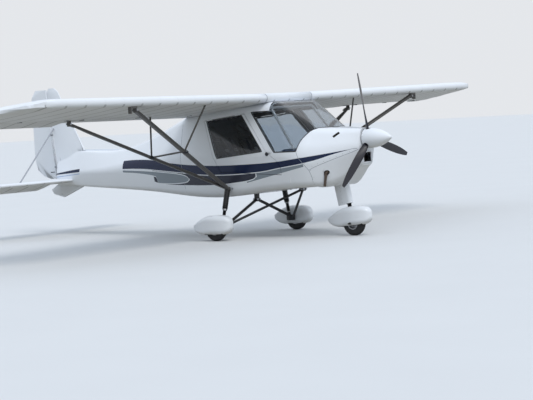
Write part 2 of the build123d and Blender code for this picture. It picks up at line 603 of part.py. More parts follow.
# Main gear
FRONT_ARM_R = 16.0
STUB_R = 22.0
STUB_SINK = 34.0
AXLE_END = RIM_W / 2 + 4
AXLE_BLOCK = (110.0, 44.0, 70.0)
KEEL_GAP = 24.0
leg = rod(HUB_END, REAR_PIVOT, LEG_R) + rod(HUB_END, FRONT_PIVOT, FRONT_ARM_R)
stub_start = (AXLE_X, HUB_END[1] - STUB_SINK, TYRE_R)
leg = leg + rod(stub_start, (AXLE_X, WHEEL_Y + AXLE_END, TYRE_R), AXLE_R)
leg = leg + rod(stub_start, (AXLE_X, WHEEL_Y - AXLE_END, TYRE_R), STUB_R)
leg = leg + Pos(HUB_END[0] - 30, HUB_END[1] - 10, HUB_END[2] - 4) * Box(*AXLE_BLOCK)
leg = one(leg - slab(-FAR, FAR, -FAR, KEEL_GAP, 0, FAR))
rear_keel = slab(REAR_PIVOT[0] - 25, REAR_PIVOT[0] + 25, -KEEL_GAP, KEEL_GAP, 440, 560)
front_keel = slab(FRONT_PIVOT[0] - 25, FRONT_PIVOT[0] + 25, -KEEL_GAP, KEEL_GAP, 566, 640)
parts["gear_bracket"] = rear_keel + front_keel - front_outer
shock_split = tuple(a + (b - a) * SHOCK_SPLIT for a, b in zip(SHOCK_TOP, SHOCK_FOOT))
shock = rod(SHOCK_TOP, shock_split, SHOCK_R) + rod(shock_split, SHOCK_FOOT, SHOCK_ROD_R)
shock = one(shock - front_outer - parts["front_strut_port"] - parts["rear_strut_port"] - leg)
both("main_leg", leg)
both("shock", shock)

# Sections of a wheel spat. Columns: share of the length from the nose, half width as a share,
# and the heights of the lower and upper side as shares of the whole height.
SPAT = [(0.0, 0.30, 0.34, 0.66), (0.06, 0.66, 0.13, 0.87), (0.20, 0.94, 0.02, 0.98),
        (0.42, 1.0, 0.0, 1.0), (0.74, 0.72, 0.02, 0.82), (1.0, 0.07, 0.38, 0.48)]
WELL_RUN = 12.0


def spat(x_axle, nose, tail, top_z, bottom_z, half, y):
    """A streamlined wheel fairing, solid but for its wheel well."""
    faces = []
    for along, wide, low, high in SPAT:
        x = nose + (tail - nose) * along
        w = half * wide
        z_low = bottom_z + (top_z - bottom_z) * low
        z_high = bottom_z + (top_z - bottom_z) * high
        corner = min(w, (z_high - z_low) / 2) * 0.7
        corners = [(x, y + w, z_low), (x, y + w, z_high), (x, y - w, z_high), (x, y - w, z_low)]
        outline = FilletPolyline(*corners, radius=corner, close=True)
        faces.append(Face(Wire(outline.edges())))
    well = Pos(x_axle, y, TYRE_R) * Rot(90, 0, 0) * Cylinder(TYRE_R + WHEEL_CLEAR,
                                                             2 * SPAT_INSIDE + WELL_RUN)
    return loft(faces) - well


main_spat = spat(AXLE_X, 1225, 592, 328, 78, MAIN_SPAT_HALF, WHEEL_Y)
both("main_spat", main_spat - leg)
nose_spat = spat(NOSE_AXLE_X, 2796, 2132, 363, 118, NOSE_SPAT_HALF, 0)
nose_spat = nose_spat.rotate(Axis((NOSE_AXLE_X, 0, TYRE_R), (0, 1, 0)), -NOSE_SPAT_TILT)


def tyre():
    """A tyre about its own middle, its axle along Y."""
    half = TYRE_W / 2
    shoulder = 30.0
    outline = [(RIM_R, -RIM_W / 2), (TYRE_R - shoulder, -half), (TYRE_R, -half + shoulder),
               (TYRE_R, half - shoulder), (TYRE_R - shoulder, half), (RIM_R, RIM_W / 2)]
    wire = FilletPolyline(*[(x, y, 0) for x, y in outline], radius=[2, 20, 24, 24, 20, 2],
                          close=True)
    return revolve(Face(Wire(wire.edges())), axis=Axis.Y)


def rim():
    """A wheel's rim and hub about its own middle."""
    half = RIM_W / 2
    bore = AXLE_R + BORE_CLEAR
    hub = AXLE_R + 16
    web = 16.0
    lip = RIM_R - 12
    outline = [(bore, -half), (hub, -half), (hub, -web), (lip, -web), (lip, -half), (RIM_R, -half),
               (RIM_R, half), (lip, half), (lip, web), (hub, web), (hub, half), (bore, half)]
    wire = Wire.make_polygon([(x, y, 0) for x, y in outline], close=True)
    return revolve(Face(wire), axis=Axis.Y)


for name, x, y in (("main_port", AXLE_X, WHEEL_Y), ("main_starboard", AXLE_X, -WHEEL_Y),
                   ("nose", NOSE_AXLE_X, 0.0)):
    parts["tyre_" + name] = Pos(x, y, TYRE_R) * tyre()
    parts["rim_" + name] = Pos(x, y, TYRE_R) * rim()

# Nose leg, its fairing and the steered fork
steer_way = (Vector(*STEER_LOW) - Vector(*STEER_TOP)).normalized()


def on_steer(z):
    """The point of the steering axis at a height."""
    share = (z - STEER_TOP[2]) / steer_way.Z
    return (STEER_TOP[0] + steer_way.X * share, 0.0, z)


LEG_FOOT_Z = 400.0
nose_leg = rod(on_steer(740), on_steer(LEG_FOOT_Z), NOSE_LEG_R)
fairing = faired(on_steer(690), on_steer(LEG_FOOT_Z), FAIRING_CHORD, FAIRING_THICK)
fairing = fairing - rod(on_steer(760), on_steer(360), NOSE_LEG_R)
parts["nose_leg_fairing"] = one(fairing - cowl_outer - screen_outer)
parts["nose_leg"] = nose_leg
parts["cowl_lower"] = cowl_lower - nose_leg
CROWN_THICK = 12.0
FORK_HALF = 30.0
crown_z = TYRE_R * 2 + FORK_CLEAR
plate_in = TYRE_W / 2 + FORK_CLEAR
plate_out = plate_in + FORK_PLATE
collar_y = NOSE_SPAT_HALF + 2.0
stem_x = on_steer(crown_z)[0]
fork = rod(on_steer(LEG_FOOT_Z - 1), on_steer(crown_z + 4), STEM_R)
fork = fork + slab(stem_x - STEM_R, NOSE_AXLE_X + FORK_HALF, -plate_out, plate_out,
                   crown_z, crown_z + CROWN_THICK)


def across(y_from, y_to, radius):
    """A round bar on the nose axle's line."""
    return rod((NOSE_AXLE_X, y_from, TYRE_R), (NOSE_AXLE_X, y_to, TYRE_R), radius)


fork = fork + across(-plate_out, plate_out, AXLE_R)
for side in (-1, 1):
    inner, outer = sorted((side * plate_in, side * plate_out))
    fork = fork + slab(NOSE_AXLE_X - FORK_HALF, NOSE_AXLE_X + FORK_HALF, inner, outer,
                       TYRE_R - FORK_HALF, crown_z + CROWN_THICK)
    neck_y = collar_y + TOW_NECK
    fork = fork + across(side * plate_out, side * collar_y, COLLAR_R)
    fork = fork + across(side * plate_out, side * neck_y, TOW_NECK_R)
    fork = fork + across(side * neck_y, side * (neck_y + TOW_PIN_LENGTH), TOW_PIN_R)
parts["nose_fork"] = fork
parts["nose_spat"] = nose_spat - fork


# Propeller and spinner
def blade_face(radius, chord, thick, angle):
    """A blade's section, square to its length."""
    half, depth = chord / 2, thick / 2
    front = ThreePointArc((-half, 0, radius), (0, depth * 1.5, radius), (half, 0, radius))
    back = ThreePointArc((half, 0, radius), (0, -depth * 0.5, radius), (-half, 0, radius))
    face = Face(Wire([front.edge(), back.edge()]))
    return face.rotate(Axis.Z, angle)


# Columns: distance from the hub, chord, thickness and angle to the disc
BLADE = [(50, 44, 34, 62), (190, 84, 24, 50), (420, 98, 15, 30), (690, 78, 9, 20),
         (PROP_R, 40, 5, 16)]
BLADE_HOLE_R = 36.0
blade = loft([blade_face(*row) for row in BLADE]).rotate(Axis.Z, 90)
propeller = rod((-HUB_LENGTH / 2, 0, 0), (HUB_LENGTH / 2, 0, 0), HUB_R)
propeller = propeller + rod((GEARBOX_X + BORE_CLEAR - PROP_X, 0, 0), (0, 0, 0), SHAFT_R)
spinner_holes = []
for index in range(BLADES):
    angle = FIRST_BLADE + index * 360 / BLADES
    propeller = propeller + blade.rotate(Axis.X, angle)
    spinner_holes.append(rod((0, 0, 0), (0, 0, SPINNER_R + 40), BLADE_HOLE_R).rotate(Axis.X, angle))
parts["propeller"] = Pos(PROP_X, 0, HUB_Z) * propeller


def ogive(radius, reach):
    """A round pointed nose, standing on its base."""
    blunt = 12.0
    side = ThreePointArc((0, radius), (reach * 0.5, radius * 0.88), (reach, blunt))
    tip = Line((reach, blunt), (reach, 0))
    middle = Line((reach, 0), (0, 0))
    base = Line((0, 0), (0, radius))
    face = Face(Wire([piece.edge() for piece in (side, tip, middle, base)]))
    return revolve(face, axis=Axis.X)


spinner_length = SPINNER_TIP_X - SPINNER_BASE_X
spinner = ogive(SPINNER_R, spinner_length)
spinner = spinner - ogive(SPINNER_R - SPINNER_WALL, spinner_length - 3 * SPINNER_WALL)
for hole in spinner_holes:
    spinner = spinner - Pos(PROP_X - SPINNER_BASE_X, 0, 0) * hole
plate_run = PROP_X - HUB_LENGTH / 2 - SPINNER_BASE_X
spinner = spinner + rod((0, 0, 0), (plate_run, 0, 0), SPINNER_R - SPINNER_WALL / 2)
parts["spinner"] = Pos(SPINNER_BASE_X, 0, HUB_Z) * spinner - parts["propeller"]

os.makedirs("parts", exist_ok=True)
for name, shape in parts.items():
    export_step(shape, "parts/" + name + ".step")
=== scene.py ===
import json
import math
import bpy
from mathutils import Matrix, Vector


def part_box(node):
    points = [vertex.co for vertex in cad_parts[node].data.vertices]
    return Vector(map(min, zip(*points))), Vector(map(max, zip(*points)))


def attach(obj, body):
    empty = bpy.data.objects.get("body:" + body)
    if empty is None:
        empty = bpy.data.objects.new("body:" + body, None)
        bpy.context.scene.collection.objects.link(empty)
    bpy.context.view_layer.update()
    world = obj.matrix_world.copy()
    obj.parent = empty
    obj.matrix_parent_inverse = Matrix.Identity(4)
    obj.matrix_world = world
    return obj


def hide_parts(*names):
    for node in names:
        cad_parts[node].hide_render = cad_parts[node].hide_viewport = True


bl_info = {
    "name": "High-wing microlight",
    "version": (1, 0, 0),
    "blender": (4, 5, 0),
    "location": "3D View > Sidebar > Microlight",
    "description": "Looks of a strut-braced high-wing microlight, around its packed frame",
    "category": "Object",
}

import bmesh
import bpy
from bpy.props import (BoolProperty, FloatProperty, FloatVectorProperty, IntProperty,
                       PointerProperty)
from bpy.types import Operator, Panel, PropertyGroup
from mathutils import Matrix, Vector
from mathutils.bvhtree import BVHTree

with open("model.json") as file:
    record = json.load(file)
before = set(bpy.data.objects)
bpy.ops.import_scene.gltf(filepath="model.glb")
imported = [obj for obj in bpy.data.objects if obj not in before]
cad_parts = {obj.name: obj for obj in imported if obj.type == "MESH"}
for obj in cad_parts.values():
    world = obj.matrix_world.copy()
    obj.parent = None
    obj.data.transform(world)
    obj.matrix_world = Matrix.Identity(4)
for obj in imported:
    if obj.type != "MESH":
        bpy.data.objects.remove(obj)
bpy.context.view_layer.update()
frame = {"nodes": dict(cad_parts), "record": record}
BODY_OF = {node: body for body, nodes in frame["record"]["behaviour"]["bodies"].items()
           for node in nodes}
SLOT_OF = {row["node"]: row["material_slot"] for row in frame["record"]["subparts"]}
MM = 0.001


def length(label, text, default):
    """A size in metres that a user may change."""
    return FloatProperty(name=label, description=text, default=default, unit="LENGTH", precision=4)


def colour(label, text, default):
    """A linear colour that a user may change."""
    return FloatVectorProperty(name=label, description=text, default=default, subtype="COLOR",
                               size=3, min=0.0, max=1.0)


def srgb(red, green, blue):
    """A linear colour from screen values of 0 to 255."""
    parts = []
    for value in (red, green, blue):
        share = value / 255
        parts.append(share / 12.92 if share <= 0.04045 else ((share + 0.055) / 1.055) ** 2.4)
    return tuple(parts)


class PaintSettings(PropertyGroup):
    """Colours of the finish."""
    white: colour("White", "Gelcoat and covering", srgb(238, 241, 246))
    navy: colour("Navy", "Main stripe along the side", srgb(22, 35, 66))
    charcoal: colour("Charcoal", "Dark sweep under the main stripe", srgb(56, 58, 70))
    grey: colour("Grey", "Pale sweep and leaf", srgb(138, 147, 155))
    pale: colour("Pale blue", "Thin line at the tail", srgb(178, 192, 218))
    strut: colour("Strut", "Wing and tail struts", srgb(92, 90, 88))
    black: colour("Black", "Gear arms, blades and fittings", srgb(22, 22, 24))
    glass: colour("Glass", "Tint of the windows", srgb(203, 210, 216))
    coaming: colour("Coaming", "Cover of the instrument panel", srgb(84, 98, 122))
    lining: colour("Lining", "Inside of the cabin", srgb(86, 90, 100))
    seat: colour("Seat", "Seat cloth", srgb(52, 58, 70))


class StageSettings(PropertyGroup):
    """The floor, the lamps and the camera."""
    floor_size: length("Floor", "Edge of the floor", 240.0)
    sun_power: FloatProperty(name="Sun", description="Strength of the sun lamp", default=1.2)
    sky_power: FloatProperty(name="Sky", description="Strength of the sky's light", default=0.93)
    ground: colour("Ground", "What the floor throws back on the object", (0.30, 0.28, 0.23))
    camera_at: FloatVectorProperty(name="Camera", description="Where the camera stands",
                                   default=(14.790, -16.512, 1.583), size=3, unit="LENGTH")
    heading: FloatProperty(name="Heading", description="Turn of the view away from the nose",
                           default=0.87995, unit="ROTATION")
    pitch: FloatProperty(name="Pitch", description="Tilt of the view", default=-0.0526,
                         unit="ROTATION")
    roll: FloatProperty(name="Roll", description="Roll of the view", default=-0.0576,
                        unit="ROTATION")
    lens: FloatProperty(name="Lens", description="Focal length in millimetres", default=112.04)


class DetailSettings(PropertyGroup):
    """Sizes of the added details."""
    rib_pitch: length("Rib pitch", "Distance between the wing's ribs", 0.30)
    rib_sag: length("Sag", "How far the covering sinks between the ribs", 0.0035)
    seal_width: length("Seal", "Width of a window's seal", 0.014)
    seal_height: length("Seal height", "Height of a window's seal", 0.003)
    screw_radius: length("Screw", "Radius of a fastener's head", 0.0045)
    tread_depth: length("Tread", "Depth of a tyre's grooves", 0.003)
    gap_width: length("Joint", "Width of a joint between two mouldings", 0.005)
    gap_height: length("Joint height", "How far a joint's filler stands out", 0.0006)
    foam_step: length("Foam step", "Size of a voxel of a seat cushion", 0.009)
    foam_press: FloatProperty(name="Foam pressure", default=4.0,
                              description="How hard the foam swells the cloth")
    foam_reach: length("Foam reach", "Furthest that the cloth may swell", 0.016)


# Materials

class Shade:
    """A material's node tree, built a node at a time."""

    def __init__(self, name):
        self.material = bpy.data.materials.new(name)
        self.material.use_nodes = True
        self.tree = self.material.node_tree
        self.tree.nodes.clear()
        self.output = self.add("ShaderNodeOutputMaterial")
        self.surface = self.add("ShaderNodeBsdfPrincipled")
        self.link(self.surface.outputs[0], self.output.inputs["Surface"])
        coordinates = self.add("ShaderNodeTexCoord").outputs
        self.place = coordinates["Object"]
        self.facing = coordinates["Normal"]

    def add(self, kind, **values):
        """A node with some of its own settings."""
        node = self.tree.nodes.new(kind)
        for key, value in values.items():
            setattr(node, key, value)
        return node

    def link(self, start, end):
        """A link between two sockets."""
        self.tree.links.new(start, end)

    def feed(self, socket, value):
        """A value or a link into a socket."""
        if isinstance(value, bpy.types.NodeSocket):
            self.link(value, socket)
        else:
            socket.default_value = value

    def math(self, operation, first, second=0.0, third=None):
        """One step of arithmetic."""
        node = self.add("ShaderNodeMath", operation=operation)
        self.feed(node.inputs[0], first)
        self.feed(node.inputs[1], second)
        if third is not None:
            self.feed(node.inputs[2], third)
        return node.outputs[0]

    def axis(self, name):
        """One object coordinate."""
        node = self.add("ShaderNodeSeparateXYZ")
        self.link(self.place, node.inputs[0])
        return node.outputs[name]

    def noise(self, scale, detail=3.0, rough=0.5, stretch=None):
        """A noise pattern's value."""
        node = self.add("ShaderNodeTexNoise")
        place = self.place
        if stretch:
            mapping = self.add("ShaderNodeMapping")
            mapping.inputs["Scale"].default_value = stretch
            self.link(place, mapping.inputs["Vector"])
            place = mapping.outputs["Vector"]
        self.link(place, node.inputs["Vector"])
        node.inputs["Scale"].default_value = scale
        node.inputs["Detail"].default_value = detail
        node.inputs["Roughness"].default_value = rough
        return node.outputs["Fac"]

    def span(self, value, low, high):
        """A value brought from 0 to 1 into a range."""
        node = self.add("ShaderNodeMapRange")
        self.feed(node.inputs["Value"], value)
        node.inputs["To Min"].default_value = low
        node.inputs["To Max"].default_value = high
        return node.outputs["Result"]

    def mix(self, share, first, second):
        """A mix of two colours."""
        node = self.add("ShaderNodeMix", data_type="RGBA")
        self.feed(node.inputs[0], share)
        for socket, value in ((node.inputs[6], first), (node.inputs[7], second)):
            if isinstance(value, bpy.types.NodeSocket):
                self.link(value, socket)
            else:
                socket.default_value = (*value, 1.0)
        return node.outputs[2]

    def bump(self, height, strength, distance):
        """A bump on the surface."""
        node = self.add("ShaderNodeBump")
        self.link(height, node.inputs["Height"])
        node.inputs["Strength"].default_value = strength
        node.inputs["Distance"].default_value = distance
        self.link(node.outputs["Normal"], self.surface.inputs["Normal"])

    def finish(self, base, rough, metal=0.0):
        """The main sockets of the surface."""
        if isinstance(base, bpy.types.NodeSocket):
            self.link(base, self.surface.inputs["Base Color"])
        else:
            self.surface.inputs["Base Color"].default_value = (*base, 1.0)
        self.feed(self.surface.inputs["Roughness"], rough)
        self.surface.inputs["Metallic"].default_value = metal
        return self.material


# Lines on the body's side, as stations and heights in millimetres
WINDOW = [(629, 1510), (1230, 1564), (1600, 1102), (846, 1035)]
SCREEN_EDGE = [(2108, 1086), (1791, 1086), (1386, 1597), (1674, 1597)]
SCREEN_ARCH = [(2110, 1086), (2140, 1209), (2175, 1273), (2215, 1325), (2250, 1350)]
ARCH_HEADS = [(2128, 1086), (2158, 1200), (2193, 1264), (2228, 1312)]
COWL_JOINT = [(2112, 1082), (2136, 1011), (2193, 934), (2247, 844), (2262, 760), (2262, 640)]
COWL_HEADS = [(2158, 1006), (2214, 936), (2266, 846), (2284, 760)]
COWL_SPLIT = [(2774, 1072), (2702, 1037), (2493, 954), (2307, 880), (2247, 846)]
SPLIT_STEP = [(2712, 1083), (2790, 1083)]
SPLIT_HEADS = [(2690, 1052), (2493, 974), (2290, 894)]

# Edges of the livery along the side. Each row is station and height, in millimetres.
NAVY_TOP = [(-1120, 1036), (-713, 1046), (-418, 1033), (-175, 1001), (661, 945), (1220, 944),
            (1734, 962), (2119, 998), (2361, 1027), (2712, 1079)]
NAVY_LOW = [(-1120, 926), (-699, 924), (-321, 899), (155, 863), (675, 827), (1422, 842),
            (1859, 893), (2205, 940), (2591, 1046), (2712, 1077)]
BAND_LOW = [(1290, 712), (1440, 742), (1836, 820), (2192, 892)]
DARK_LOW = [(-470, 750), (-241, 712), (195, 697), (684, 694), (1123, 722), (1340, 748), (1446, 795)]
LEAF_TOP = [(-1120, 908), (-642, 890), (-195, 862), (125, 830), (262, 771)]
LEAF_LOW = [(-1120, 880), (-721, 858), (-415, 815), (-408, 733), (-351, 727), (95, 729), (262, 771)]
THIN_TOP = [(-2760, 872), (-2341, 922), (-2125, 942)]
THIN_LOW = [(-2760, 859), (-2125, 897)]
PALE_TOP = [(-2750, 832), (-2127, 878)]

# A seat's pads. Columns: name, middle and size in metres, and turn about the cross axis.
SEAT_Y = 0.290
SEAT_HALF = 0.222
SEAT_FRAMES = 20
SHELL_STEPS = 8
SEAT_PADS = [
    ("base", (1.250, 0.0, 0.748), (0.420, 0.400, 0.090), math.radians(-6.2)),
    ("back", (0.822, 0.0, 1.010), (0.560, 0.400, 0.085), math.radians(58.3)),
]
SEAT_SHELL = [(1478, 716), (1468, 692), (1240, 668), (1040, 650), (985, 672), (930, 742),
              (780, 985), (640, 1228), (652, 1244)]

# Dials of the panel. Columns: place across and height, radius, and where the pointer stands.
DIALS = [(-340, 1040, 38, 120), (-250, 1040, 38, 60), (-160, 1040, 38, 200), (-340, 955, 28, 30),
         (-260, 955, 28, 150), (-190, 955, 28, 90), (180, 1040, 30, 45), (250, 1040, 30, 110),
         (320, 1040, 30, 160), (180, 965, 24, 75), (250, 965, 24, 135), (320, 965, 24, 20)]

# How far the livery's edges reach along and up, and the width of its pinstripe
REACH = (-2800.0, 2800.0)
HEIGHTS = (600.0, 1150.0)
PINSTRIPE = 11.0

# Places on the port side, in millimetres. The starboard side mirrors them.
HULL_JOINT_X, HULL_AXIS_Z = 155, 1050
COWL_REAR_X, COWL_AXIS_Z = 2262, 900
VENT = [(2506, 1238), (2560, 1288)]
VENT_LIP = [(2494, 1246), (2548, 1298)]
COWL_VENT_X, COWL_VENT_HALF = 2330, 62
SCREEN_FOOT_X, SCREEN_FOOT_HALF = 2252, 300
SCREEN_HEAD_X, SCREEN_HEAD_HALF = 1676, 452
SCREEN_HEADS = [(1770, 1138), (1404, 1600)]
LATCH = (1676, 1067)
DOOR_PULL = [(1290, 1015), (1330, 1003), (1440, 1010), (1480, 1030)]
DOOR_PULL_Y = 560
PIPE_TOP, PIPE_FOOT = (2425, -384, 800), (2404, -396, 640)
LEG_TOP, LEG_FOOT = (2420, 0, 626), (2470, 0, 382)
FAIRING_HEADS = [(2360, 600), (2390, 410)]
SHOCK_TOP, SHOCK_FOOT = (974, 566, 640), (960, 676, 212)
ARM_PINS = [(980, 24, 470), (1750, 24, 590)]
STRUT_FOOT = (986, 556, 642)
STRUT_TOPS = [(1566, 2777, 1700), (465, 2777, 1580)]
RUDDER_PINS = [(-2738, 0, 830), (-2866, 0, 2040)]
FILLER = (1180, 620)
ROOT_JOINT = (0.4505, 0.460)
SURFACE_HINGE_X = 0.545
TIP_BEYOND_HINGE = 0.30

# The cabin's tubes. Columns: two ends, as station, half width and height, and radius in metres.
CABIN_TUBES = [
    ((2040, 500, 1105), (1640, 415, 1640), 0.017),
    ((1640, 415, 1640), (400, 400, 1585), 0.016),
    ((2040, 500, 1105), (1960, 520, 700), 0.014),
]
CROSS_TUBES = [(1640, 415, 1640, 0.016), (1000, 408, 1612, 0.012)]

# A tyre's profile across its crown. Columns: share of the half width, and 1 at a groove's bottom.
TREAD_GROOVES = [(0.47, 0), (0.45, 1), (0.41, 1), (0.39, 0), (0.17, 0), (0.15, 1), (0.11, 1),
                 (0.09, 0)]

# The harness in metres, from the seat's middle. Columns: station, share of the belt's spread,
# and height. The shoulder belts start behind the seat.
BUCKLE = (1.16, 0.835)
SHOULDER_SPREAD, SHOULDER_WIDTH = 0.085, 0.042
SHOULDER_ROUTE = [(0.660, 1.0, 1.292), (0.735, 1.0, 1.285), (0.800, 1.0, 1.180),
                  (0.885, 1.0, 1.040), (0.965, 1.0, 0.910), (1.045, 0.6, 0.858)]
LAP_ROUTE = [(1.02, 0.215, 0.70), (1.05, 0.205, 0.80), (1.10, 0.13, 0.842)]
LAP_WIDTH = 0.046

# Counts of repeated fittings, and the circle that they stand on in metres
RIM_BOLTS, BOLT_CIRCLE, RIM_WEB = 6, 0.048, 0.016
SPINNER_SCREWS = 18
SHOCK_RINGS, SHOCK_RING_FIRST, SHOCK_RING_STEP = 9, 0.10, 0.052
SHOCK_CLIPS = [(0.595, 0.030), (0.62, 0.026), (0.90, 0.026)]
SWITCHES, SWITCH_STEP, SWITCH_Z = 9, 50, 921
DISPLAY_Z = 1008
RUDDER_HINGE_SHARES = (0.12, 0.5, 0.88)
SURFACE_HINGE_SHARES = (0.04, 0.5, 0.96)

# The chin intake's mouth in metres: half width, lower and upper edge, and station
INTAKE_HALF, INTAKE_LOW, INTAKE_HIGH, INTAKE_X = 0.084, 0.905, 1.035, 2.782
FINS_X, FINS = 2.690, 15


def edge_height(shade, rows, x):
    """The height of a livery edge above each station, in millimetres."""
    node = shade.add("ShaderNodeFloatCurve")
    curve = node.mapping.curves[0]
    shares = [((station - REACH[0]) / (REACH[1] - REACH[0]),
               (height - HEIGHTS[0]) / (HEIGHTS[1] - HEIGHTS[0])) for station, height in rows]
    curve.points[0].location = shares[0]
    curve.points[1].location = shares[-1]
    for share in shares[1:-1]:
        curve.points.new(*share)
    node.mapping.extend = "HORIZONTAL"
    node.mapping.update()
    start = shade.math("MULTIPLY_ADD", x, 1000 / (REACH[1] - REACH[0]),
                       -REACH[0] / (REACH[1] - REACH[0]))
    shade.link(start, node.inputs["Value"])
    return shade.math("MULTIPLY_ADD", node.outputs[0], HEIGHTS[1] - HEIGHTS[0], HEIGHTS[0])


def between(shade, value, low, high):
    """1 where a value lies between two others, in millimetres."""
    over = shade.math("GREATER_THAN", value, low)
    under = shade.math("LESS_THAN", value, high)
    return shade.math("MULTIPLY", over, under)


def livery(shade, base, paint):
    """The stripes along both sides of the body."""
    x = shade.axis("X")
    z = shade.math("MULTIPLY", shade.axis("Z"), 1000.0)
    station = shade.math("MULTIPLY", x, 1000.0)
    navy_top = edge_height(shade, NAVY_TOP, x)
    navy_low = edge_height(shade, NAVY_LOW, x)
    under_navy = shade.math("SUBTRACT", navy_low, PINSTRIPE)

    def area(low, high, first, last):
        inside = between(shade, z, low, high)
        along = between(shade, station, first, last)
        return shade.math("MULTIPLY", inside, along)

    band = area(edge_height(shade, BAND_LOW, x), under_navy, 1290.0, 2192.0)
    dark_low = edge_height(shade, DARK_LOW, x)
    dark_line = shade.math("SUBTRACT", dark_low, PINSTRIPE)
    dark_edge = area(dark_line, under_navy, -470.0, 1462.0)
    dark = area(dark_low, under_navy, -470.0, 1446.0)
    leaf_top = edge_height(shade, LEAF_TOP, x)
    leaf_low = edge_height(shade, LEAF_LOW, x)
    leaf_edge = area(shade.math("SUBTRACT", leaf_low, PINSTRIPE),
                     shade.math("ADD", leaf_top, PINSTRIPE), -1120.0, 276.0)
    leaf = area(leaf_low, leaf_top, -1120.0, 262.0)
    navy = area(navy_low, navy_top, -1120.0, 2712.0)
    thin = area(edge_height(shade, THIN_LOW, x), edge_height(shade, THIN_TOP, x), -2760.0, -2125.0)
    pale_top = edge_height(shade, PALE_TOP, x)
    pale = area(shade.math("SUBTRACT", pale_top, 12.0), pale_top, -2750.0, -2127.0)
    layers = [(band, paint.grey), (dark_edge, paint.white), (dark, paint.charcoal),
              (leaf_edge, paint.white), (leaf, paint.grey), (navy, paint.navy),
              (thin, paint.navy), (pale, paint.pale)]
    for mask, tint in layers:
        base = shade.mix(mask, base, tuple(tint))
    return base


def white_base(shade, paint, amount=0.05):
    """White that is a little uneven, as washed gelcoat is."""
    cloud = shade.noise(2.4, detail=4.0)
    dull = tuple(value * (1 - amount) for value in paint.white)
    return shade.mix(shade.span(cloud, 0.0, 1.0), tuple(paint.white), dull)


def gelcoat(paint, striped):
    """Glossy moulded white, with the stripes on the body."""
    shade = Shade("striped_gelcoat" if striped else "gelcoat")
    base = white_base(shade, paint)
    if striped:
        base = livery(shade, base, paint)
    rough = shade.span(shade.noise(9.0, detail=5.0), 0.16, 0.30)
    shade.bump(shade.noise(60.0, detail=2.0), 0.05, 0.002)
    shade.surface.inputs["Specular IOR Level"].default_value = 0.25
    shade.surface.inputs["Coat Weight"].default_value = 0.06
    shade.surface.inputs["Coat Roughness"].default_value = 0.08
    return shade.finish(base, rough)


def covering(paint):
    """Doped sailcloth over ribs: a fine weave with taped seams, and painted shade of the ribs as
    darker lines on the underside.
    """
    shade = Shade("sailcloth")
    base = white_base(shade, paint, 0.07)
    y = shade.axis("Y")
    bay = shade.math("PINGPONG", y, 0.15)
    tape = shade.math("LESS_THAN", bay, 0.011)
    stitched = tuple(value * 0.94 for value in paint.white)
    base = shade.mix(tape, base, stitched)
    facing = shade.add("ShaderNodeSeparateXYZ")
    shade.link(shade.facing, facing.inputs[0])
    # Painted shade: darker lines over the ribs on the underside, where the ribs keep light from
    # shining through the cloth.
    under = shade.math("LESS_THAN", facing.outputs["Z"], -0.4)
    rib_shadow = shade.math("MULTIPLY", under, shade.math("LESS_THAN", bay, 0.016))
    base = shade.mix(rib_shadow, base, tuple(value * 0.62 for value in paint.white))
    weave_x = shade.math("SINE", shade.math("MULTIPLY", shade.axis("X"), 2600.0))
    weave_y = shade.math("SINE", shade.math("MULTIPLY", y, 2600.0))
    weave = shade.math("MULTIPLY", weave_x, weave_y)
    height = shade.math("MULTIPLY_ADD", weave, 0.12, tape)
    shade.bump(height, 0.35, 0.0006)
    shade.surface.inputs["Specular IOR Level"].default_value = 0.12
    return shade.finish(base, shade.span(shade.noise(7.0), 0.45, 0.60))


def window(paint):
    """Tinted acrylic."""
    shade = Shade("window")
    shade.surface.inputs["IOR"].default_value = 1.3
    shade.surface.inputs["Transmission Weight"].default_value = 1.0
    shade.surface.inputs["Coat Weight"].default_value = 0.25
    haze = shade.noise(14.0, detail=5.0)
    tint = shade.mix(haze, tuple(paint.glass), tuple(value * 0.96 for value in paint.glass))
    return shade.finish(tint, shade.span(haze, 0.0, 0.05))


def metal(name, base, rough, metallic, grain=(1.0, 1.0, 1.0)):
    """A worn metal or painted tube."""
    shade = Shade(name)
    wear = shade.noise(26.0, detail=6.0, rough=0.6, stretch=grain)
    darker = tuple(value * 0.78 for value in base)
    tint = shade.mix(wear, tuple(base), darker)
    shade.bump(wear, 0.08, 0.001)
    return shade.finish(tint, shade.span(wear, rough * 0.8, rough * 1.25), metallic)


def rubber(name, base, rough):
    """Rubber with dust on it."""
    shade = Shade(name)
    dust = shade.noise(38.0, detail=6.0, rough=0.65)
    dusty = tuple(value * 1.7 + 0.012 for value in base)
    tint = shade.mix(shade.span(dust, -0.2, 0.9), tuple(base), dusty)
    shade.bump(dust, 0.12, 0.0015)
    return shade.finish(tint, shade.span(dust, rough, min(rough * 1.2, 1.0)))


def cloth(name, base):
    """Woven seat cloth."""
    shade = Shade(name)
    warp = shade.math("SINE", shade.math("MULTIPLY", shade.axis("X"), 1500.0))
    weft = shade.math("SINE", shade.math("MULTIPLY", shade.axis("Y"), 1500.0))
    weave = shade.math("MULTIPLY", warp, weft)
    fade = shade.noise(6.0, detail=4.0)
    tint = shade.mix(fade, tuple(base), tuple(value * 1.35 for value in base))
    shade.bump(weave, 0.4, 0.0008)
    shade.surface.inputs["Sheen Weight"].default_value = 0.3
    return shade.finish(tint, 0.85)


